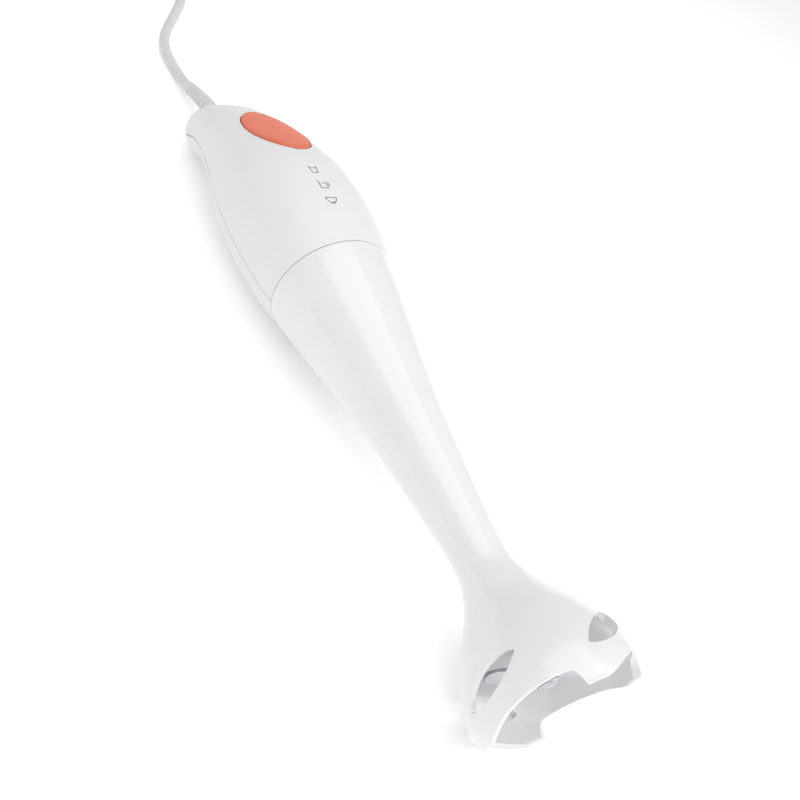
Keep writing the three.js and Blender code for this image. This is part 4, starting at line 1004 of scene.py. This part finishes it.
def strain_relief():
    """A ribbed rubber sleeve, turned straight and then bent along the way the cord leaves."""
    taper = (RELIEF_RADIUS - RELIEF_TIP) / RELIEF_LENGTH
    outline = [(0, 0), (0, 6.9), (0.3, 7.2), (2.2, 7.2), (2.5, 6.9), (2.6, RELIEF_RADIUS), (19.5, 4.7)]
    for groove in range(6):
        x = RELIEF_LENGTH * (0.36 + groove * 0.085)
        radius = RELIEF_RADIUS - taper * x
        outline += [(x - 0.25, radius), (x, radius - 0.12), (x + 0.4, radius - 1.4),
                    (x + 0.75, radius - 1.55), (x + 1.5, radius - 1.55), (x + 1.85, radius - 1.4),
                    (x + 2.3, radius - 0.16), (x + 2.55, radius - 0.06)]
    outline += [(55.6, 3.6), (56.6, 3.5), (57.2, 3.25), (57.5, 2.95), (57.5, 0)]
    piece = traced("strain_relief_sleeve", [along(x, 0, radius) for x, radius in outline])
    bpy.ops.mesh.spin(steps=48, angle=math.tau, center=(0, 0, 0), axis=(1, 0, 0))
    closed_up(2e-6)
    route = [(349, -17.5), (358, -17.5), (372, -18.5), (389, -22.1), (406, -26.9), (411, -28.3)]
    data = bpy.data.curves.new("relief_route", "CURVE")
    data.dimensions = "3D"
    data.resolution_u = 24
    line = data.splines.new("BEZIER")
    line.bezier_points.add(len(route) - 1)
    for place, (x, z) in zip(line.bezier_points, route):
        place.co = at(x, 0, z)
        place.handle_left_type = place.handle_right_type = "AUTO"
    guide = bpy.data.objects.new("relief_route", data)
    bpy.context.scene.collection.objects.link(guide)
    modified(piece, "CURVE", object=guide, deform_axis="POS_X")
    bpy.data.objects.remove(guide)
    return softened(piece, 0)


dressed(strain_relief(), pvc, "body", "grey_pvc", "strain_relief")

# ---------------------------------------------------------------- blade


def bent(start, pull, end, t):
    """A point of the curve from start to end that leans towards pull."""
    return tuple((1 - t) ** 2 * a + 2 * t * (1 - t) * b + t * t * c for a, b, c in zip(start, pull, end))


def blade_wing(name, side, bend):
    """One wing, swept back along one edge, bent where it leaves the middle of the blade."""
    lean = math.radians(bend)
    tip = [bent((-5.4, 13.5), (-3.5, 21), (3.4, 16.5), step / 12) for step in range(13)]
    back = [bent((3.4, 16.5), (5.6, 8), (5.2, 0), step / 12) for step in range(1, 13)]
    outline = [(-6, -2), (-5.9, 4)] + tip + back + [(5.2, -2)]

    def placed(across, out, rise):
        y = out * math.cos(lean) - rise * math.sin(lean) + 5.5
        z = out * math.sin(lean) + rise * math.cos(lean)
        return at(15 + z, side * y, -side * across)

    thickness = placed(0, 0, 0.7) - placed(0, 0, -0.7)
    return plate(name, [placed(across, out, -0.7) for across, out in outline], thickness)


def blade():
    disc = [(14.3, 2.65), (14.3, 7.5), (15.7, 7.5), (15.7, 2.65), (14.3, 2.65)]
    hub = turned("blade_steel_wings", disc, 64)
    for side, bend in ((1, 17), (-1, -14)):
        carved(hub, blade_wing("wing", side, bend), "UNION")
    return softened(hub, 0.3, 2, 40)


def blade_nut():
    """A domed six-sided nut under the blade."""
    alone()
    bpy.ops.mesh.primitive_cylinder_add(vertices=6, radius=4.5 * MM, depth=3.2 * MM, location=at(12.4, 0, 0),
                                        rotation=(0, math.pi / 2, 0))
    nut = named("blade_nut_dome")
    bpy.ops.object.transform_apply(location=True, rotation=True, scale=True)
    dome = [(9.5, 0), (9.55, 1), (9.8, 1.9), (10.3, 2.8), (10.9, 3.5), (11.6, 3.75), (11.6, 0)]
    carved(nut, turned("dome", dome, 64), "UNION")
    return softened(nut, 0.22, 2, 40)


def blade_hub():
    outline = [(16, 2.65), (16, 5.2), (16.3, 5.5), (18.6, 5.5), (18.9, 5.2), (19, 4.9), (19.6, 4.7),
               (20.2, 4.9), (20.4, 5.2), (21.4, 5.3), (22.4, 5), (24.6, 4.5), (25.2, 4.3), (25.4, 4),
               (25.4, 2.65), (16, 2.65)]
    return softened(turned("blade_hub_moulding", outline, 64), 0)


dressed(blade(), blade_steel, "drive", "blade_steel", "blade")
dressed(blade_nut(), polished_steel, "drive", "polished_steel", "blade_nut")
dressed(blade_hub(), black_plastic, "drive", "black_plastic", "blade_hub")

# ---------------------------------------------------------------- the cord's first place, worked out and not kept

at(405, 0, -26.6)

# ---------------------------------------------------------------- floor and light


def floor():
    alone()
    bpy.ops.mesh.primitive_plane_add(size=8, location=(0, 0, -0.0002))
    made = named("table_top")
    finish = Finish("table_paper")
    grain = finish.noise(3, 3)
    finish.set("Base Color", finish.mix(grain, rgb(252, 252, 252), rgb(250, 250, 250)))
    finish.set("Roughness", 0.7 + (grain - 0.5) * 0.1)
    finish.set("Emission Color", (1, 1, 1, 1))
    finish.set("Emission Strength", 0.16)
    made.data.materials.append(finish.material)


def lamp(name, place, target, wide, high, power):
    data = bpy.data.lights.new(name, "AREA")
    data.shape = "RECTANGLE"
    data.size, data.size_y, data.energy = wide, high, power
    made = bpy.data.objects.new(name, data)
    bpy.context.scene.collection.objects.link(made)
    made.location = place
    made.rotation_euler = (Vector(target) - Vector(place)).to_track_quat("-Z", "Y").to_euler()


floor()
lamp("broad_top", (0.0, 0.1, 1.5), (0, 0, 0), 1.6, 1.6, 10.5)
lamp("window_strip", (-0.5, -0.7, 0.7), (0, 0, 0.03), 0.25, 1.0, 3)
lamp("fill_bell", (-1.1, 0.5, 0.5), (-0.1, 0, 0.03), 0.8, 0.8, 2.8)
world = bpy.data.worlds.new("studio")
bpy.context.scene.world = world
world.use_nodes = True
world.node_tree.nodes["Background"].inputs["Color"].default_value = (1, 1, 1, 1)
world.node_tree.nodes["Background"].inputs["Strength"].default_value = 0.6
bpy.context.scene.view_settings.view_transform = "Standard"
